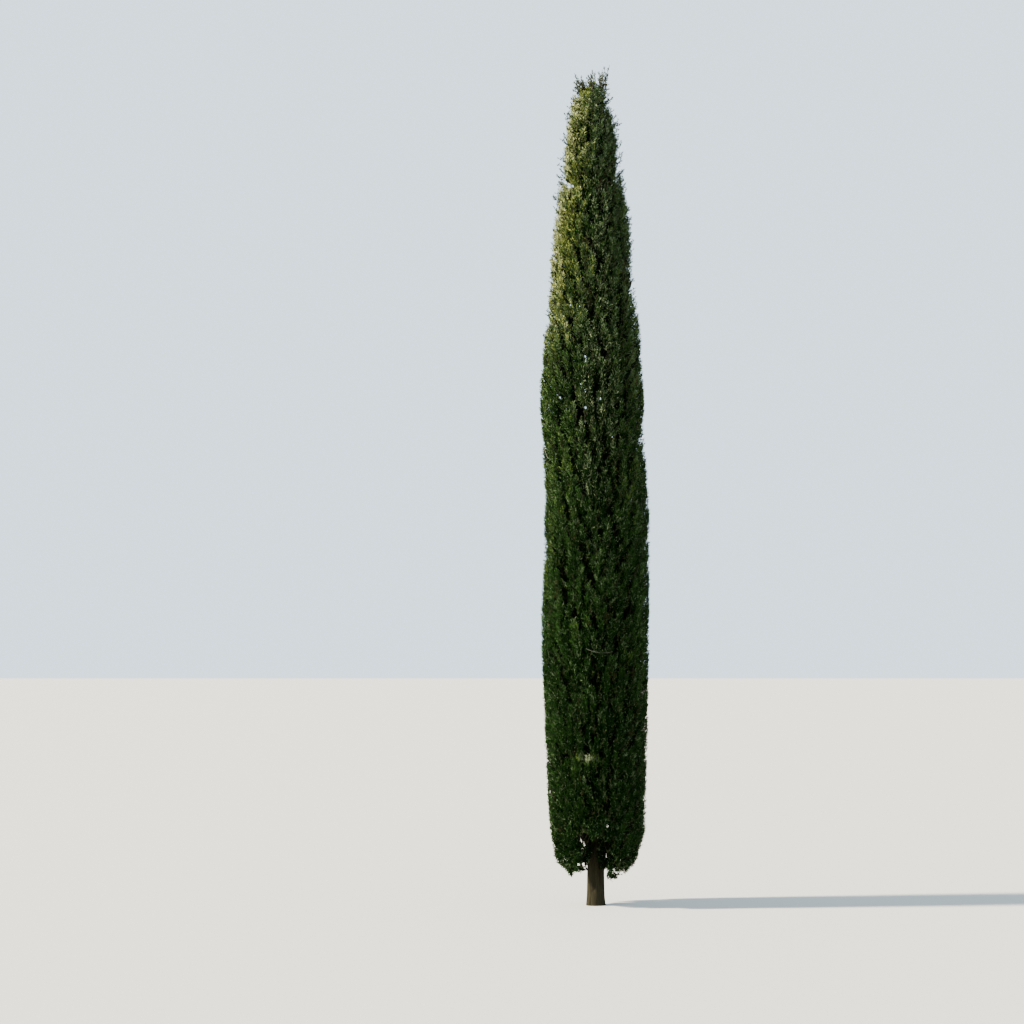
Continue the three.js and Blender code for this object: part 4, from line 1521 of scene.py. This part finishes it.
class Surface:
    """A material while its nodes are put together."""

    def __init__(self, name, gloss):
        self.material = bpy.data.materials.new(name)
        self.material.use_nodes = True
        self.tree = self.material.node_tree
        self.shader = self.tree.nodes["Principled BSDF"]
        self.shader.inputs["Specular IOR Level"].default_value = gloss
        place = self.add("ShaderNodeTexCoord", {}, {})
        self.place = place.out("Object")

    def add(self, kind, settings, inputs):
        """A node of a kind, with its settings first and then the values or wires it takes."""
        node = self.tree.nodes.new(kind)
        for key, value in settings.items():
            setattr(node, key, value)
        for key, value in inputs.items():
            self.feed(node.inputs[key], value)
        return Node(self, node)

    def feed(self, socket, value):
        if isinstance(value, Wire):
            self.tree.links.new(value.socket, socket)
        else:
            socket.default_value = value

    def noise(self, repeats, upwards, detail):
        """Noise from 0 to 1, with its repeats per metre and the share of them upwards."""
        stretch = {"Vector": self.place, "Scale": (1, 1, upwards)}
        moved = self.add("ShaderNodeMapping", {}, stretch)
        inputs = {"Vector": moved.out(0), "Scale": repeats, "Detail": detail}
        return self.add("ShaderNodeTexNoise", {}, inputs).out(0)

    def steps(self, value, low, high):
        """A value stretched so that low becomes 0 and high becomes 1."""
        inputs = {"Value": value, "From Min": low, "From Max": high}
        return self.add("ShaderNodeMapRange", {}, inputs).out(0)

    def mix(self, share, first, second):
        """A colour between two, each a wire or three numbers."""
        colours = [c if isinstance(c, Wire) else (*c, 1) for c in (first, second)]
        inputs = {MIX_SHARE: share, MIX_FIRST: colours[0], MIX_SECOND: colours[1]}
        return self.add("ShaderNodeMix", {"data_type": "RGBA"}, inputs).out(MIX_COLOUR)

    def finish(self, colour, roughness, height=None, bumps=(0, 0)):
        """The material, with bumps where it has a height."""
        self.feed(self.shader.inputs["Base Color"], colour)
        self.feed(self.shader.inputs["Roughness"], roughness)
        if height is not None:
            strength, depth = bumps
            inputs = {"Height": height, "Strength": strength, "Distance": depth}
            normal = self.add("ShaderNodeBump", {}, inputs).out(0)
            self.feed(self.shader.inputs["Normal"], normal)
        return self.material


def leaf_material(name, dark, light, gloss=LEAF_GLOSS):
    """Scale leaves: a waxy matt green that shifts a little, with a scaly bump."""
    surface = Surface(name, gloss)
    patches = surface.steps(surface.noise(*LEAF_PATCHES), *LEAF_PATCH_ENDS)
    scales = surface.noise(*LEAF_SCALES)
    share = patches * LEAF_PATCH_SHARE + scales * (1 - LEAF_PATCH_SHARE)
    least, more = LEAF_ROUGHNESS
    colour = surface.mix(share, dark, light)
    return surface.finish(colour, least + scales * more, scales, LEAF_BUMPS)


def twig_material(name, dark, light):
    """Dull bark with a fine grain that runs up."""
    surface = Surface(name, TWIG_GLOSS)
    grain = surface.noise(*TWIG_GRAIN)
    least, more = TWIG_ROUGHNESS
    colour = surface.mix(grain, dark, light)
    return surface.finish(colour, least + grain * more, grain, TWIG_BUMPS)


def bark_material():
    """Fibrous bark: grey weathered strips and flakes, and warm brown in between."""
    surface = Surface("bark", BARK_GLOSS)
    ridges = surface.steps(surface.noise(*BARK_RIDGES), *BARK_RIDGE_ENDS)
    threads = surface.noise(*BARK_THREADS)
    flakes = surface.steps(surface.noise(*BARK_FLAKES), *BARK_FLAKE_ENDS)
    grey = surface.mix(threads, *GREY_BARK)
    brown = surface.mix(threads, *BROWN_BARK)
    weathered = ridges * BARK_RIDGE_SHARE + flakes * (1 - BARK_RIDGE_SHARE)
    relief = threads * BARK_THREAD_SHARE + ridges * (1 - BARK_THREAD_SHARE)
    least, more = BARK_ROUGHNESS
    colour = surface.mix(weathered, brown, grey)
    return surface.finish(colour, least + threads * more, relief, BARK_BUMPS)


# Stage


def add_stage():
    """A pale floor, a pale sky all round, a soft warm sun from the left and a cool fill."""
    bpy.ops.mesh.primitive_plane_add(size=FLOOR_SIZE)
    floor = bpy.context.object
    floor.name = "floor"
    surface = Surface("floor", FLOOR_GLOSS)
    floor.data.materials.append(surface.finish(FLOOR_COLOUR, FLOOR_ROUGHNESS))
    world = bpy.data.worlds.new("sky")
    world.use_nodes = True
    background = world.node_tree.nodes["Background"]
    background.inputs["Color"].default_value = SKY_COLOUR
    background.inputs["Strength"].default_value = SKY_STRENGTH
    bpy.context.scene.world = world
    for name, turn, height, strength, spread, colour in SUNS:
        data = bpy.data.lights.new(name, "SUN")
        data.energy = strength
        data.angle = math.radians(spread)
        data.color = colour
        light = bpy.data.objects.new(name, data)
        tilt = math.radians(90 - height)
        light.rotation_euler = (tilt, 0, math.radians(turn + 90))
        bpy.context.scene.collection.objects.link(light)


def add_camera():
    """The camera at the photograph's place, tilted up a little."""
    data = bpy.data.cameras.new("camera")
    data.lens = CAMERA_LENS
    data.sensor_width = CAMERA_SENSOR
    data.clip_end = CAMERA_REACH
    camera = bpy.data.objects.new("camera", data)
    camera.location = CAMERA_PLACE
    camera.rotation_euler = (math.pi / 2 + CAMERA_TILT, 0, 0)
    bpy.context.scene.collection.objects.link(camera)
    bpy.context.scene.camera = camera


def main():
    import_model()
    add_camera()
    add_stage()
    plumes = grow_plumes()
    nodes = [f"plume_{plume.label}" for plume in plumes]
    add_trunk()
    add_boughs(plumes)
    seat, owner = add_foliage(plumes, nodes)
    add_wands(nodes)
    add_inner_foliage(nodes)
    add_twigs(plumes, seat, owner, nodes)
    add_dry_twigs(nodes)
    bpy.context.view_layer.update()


main()
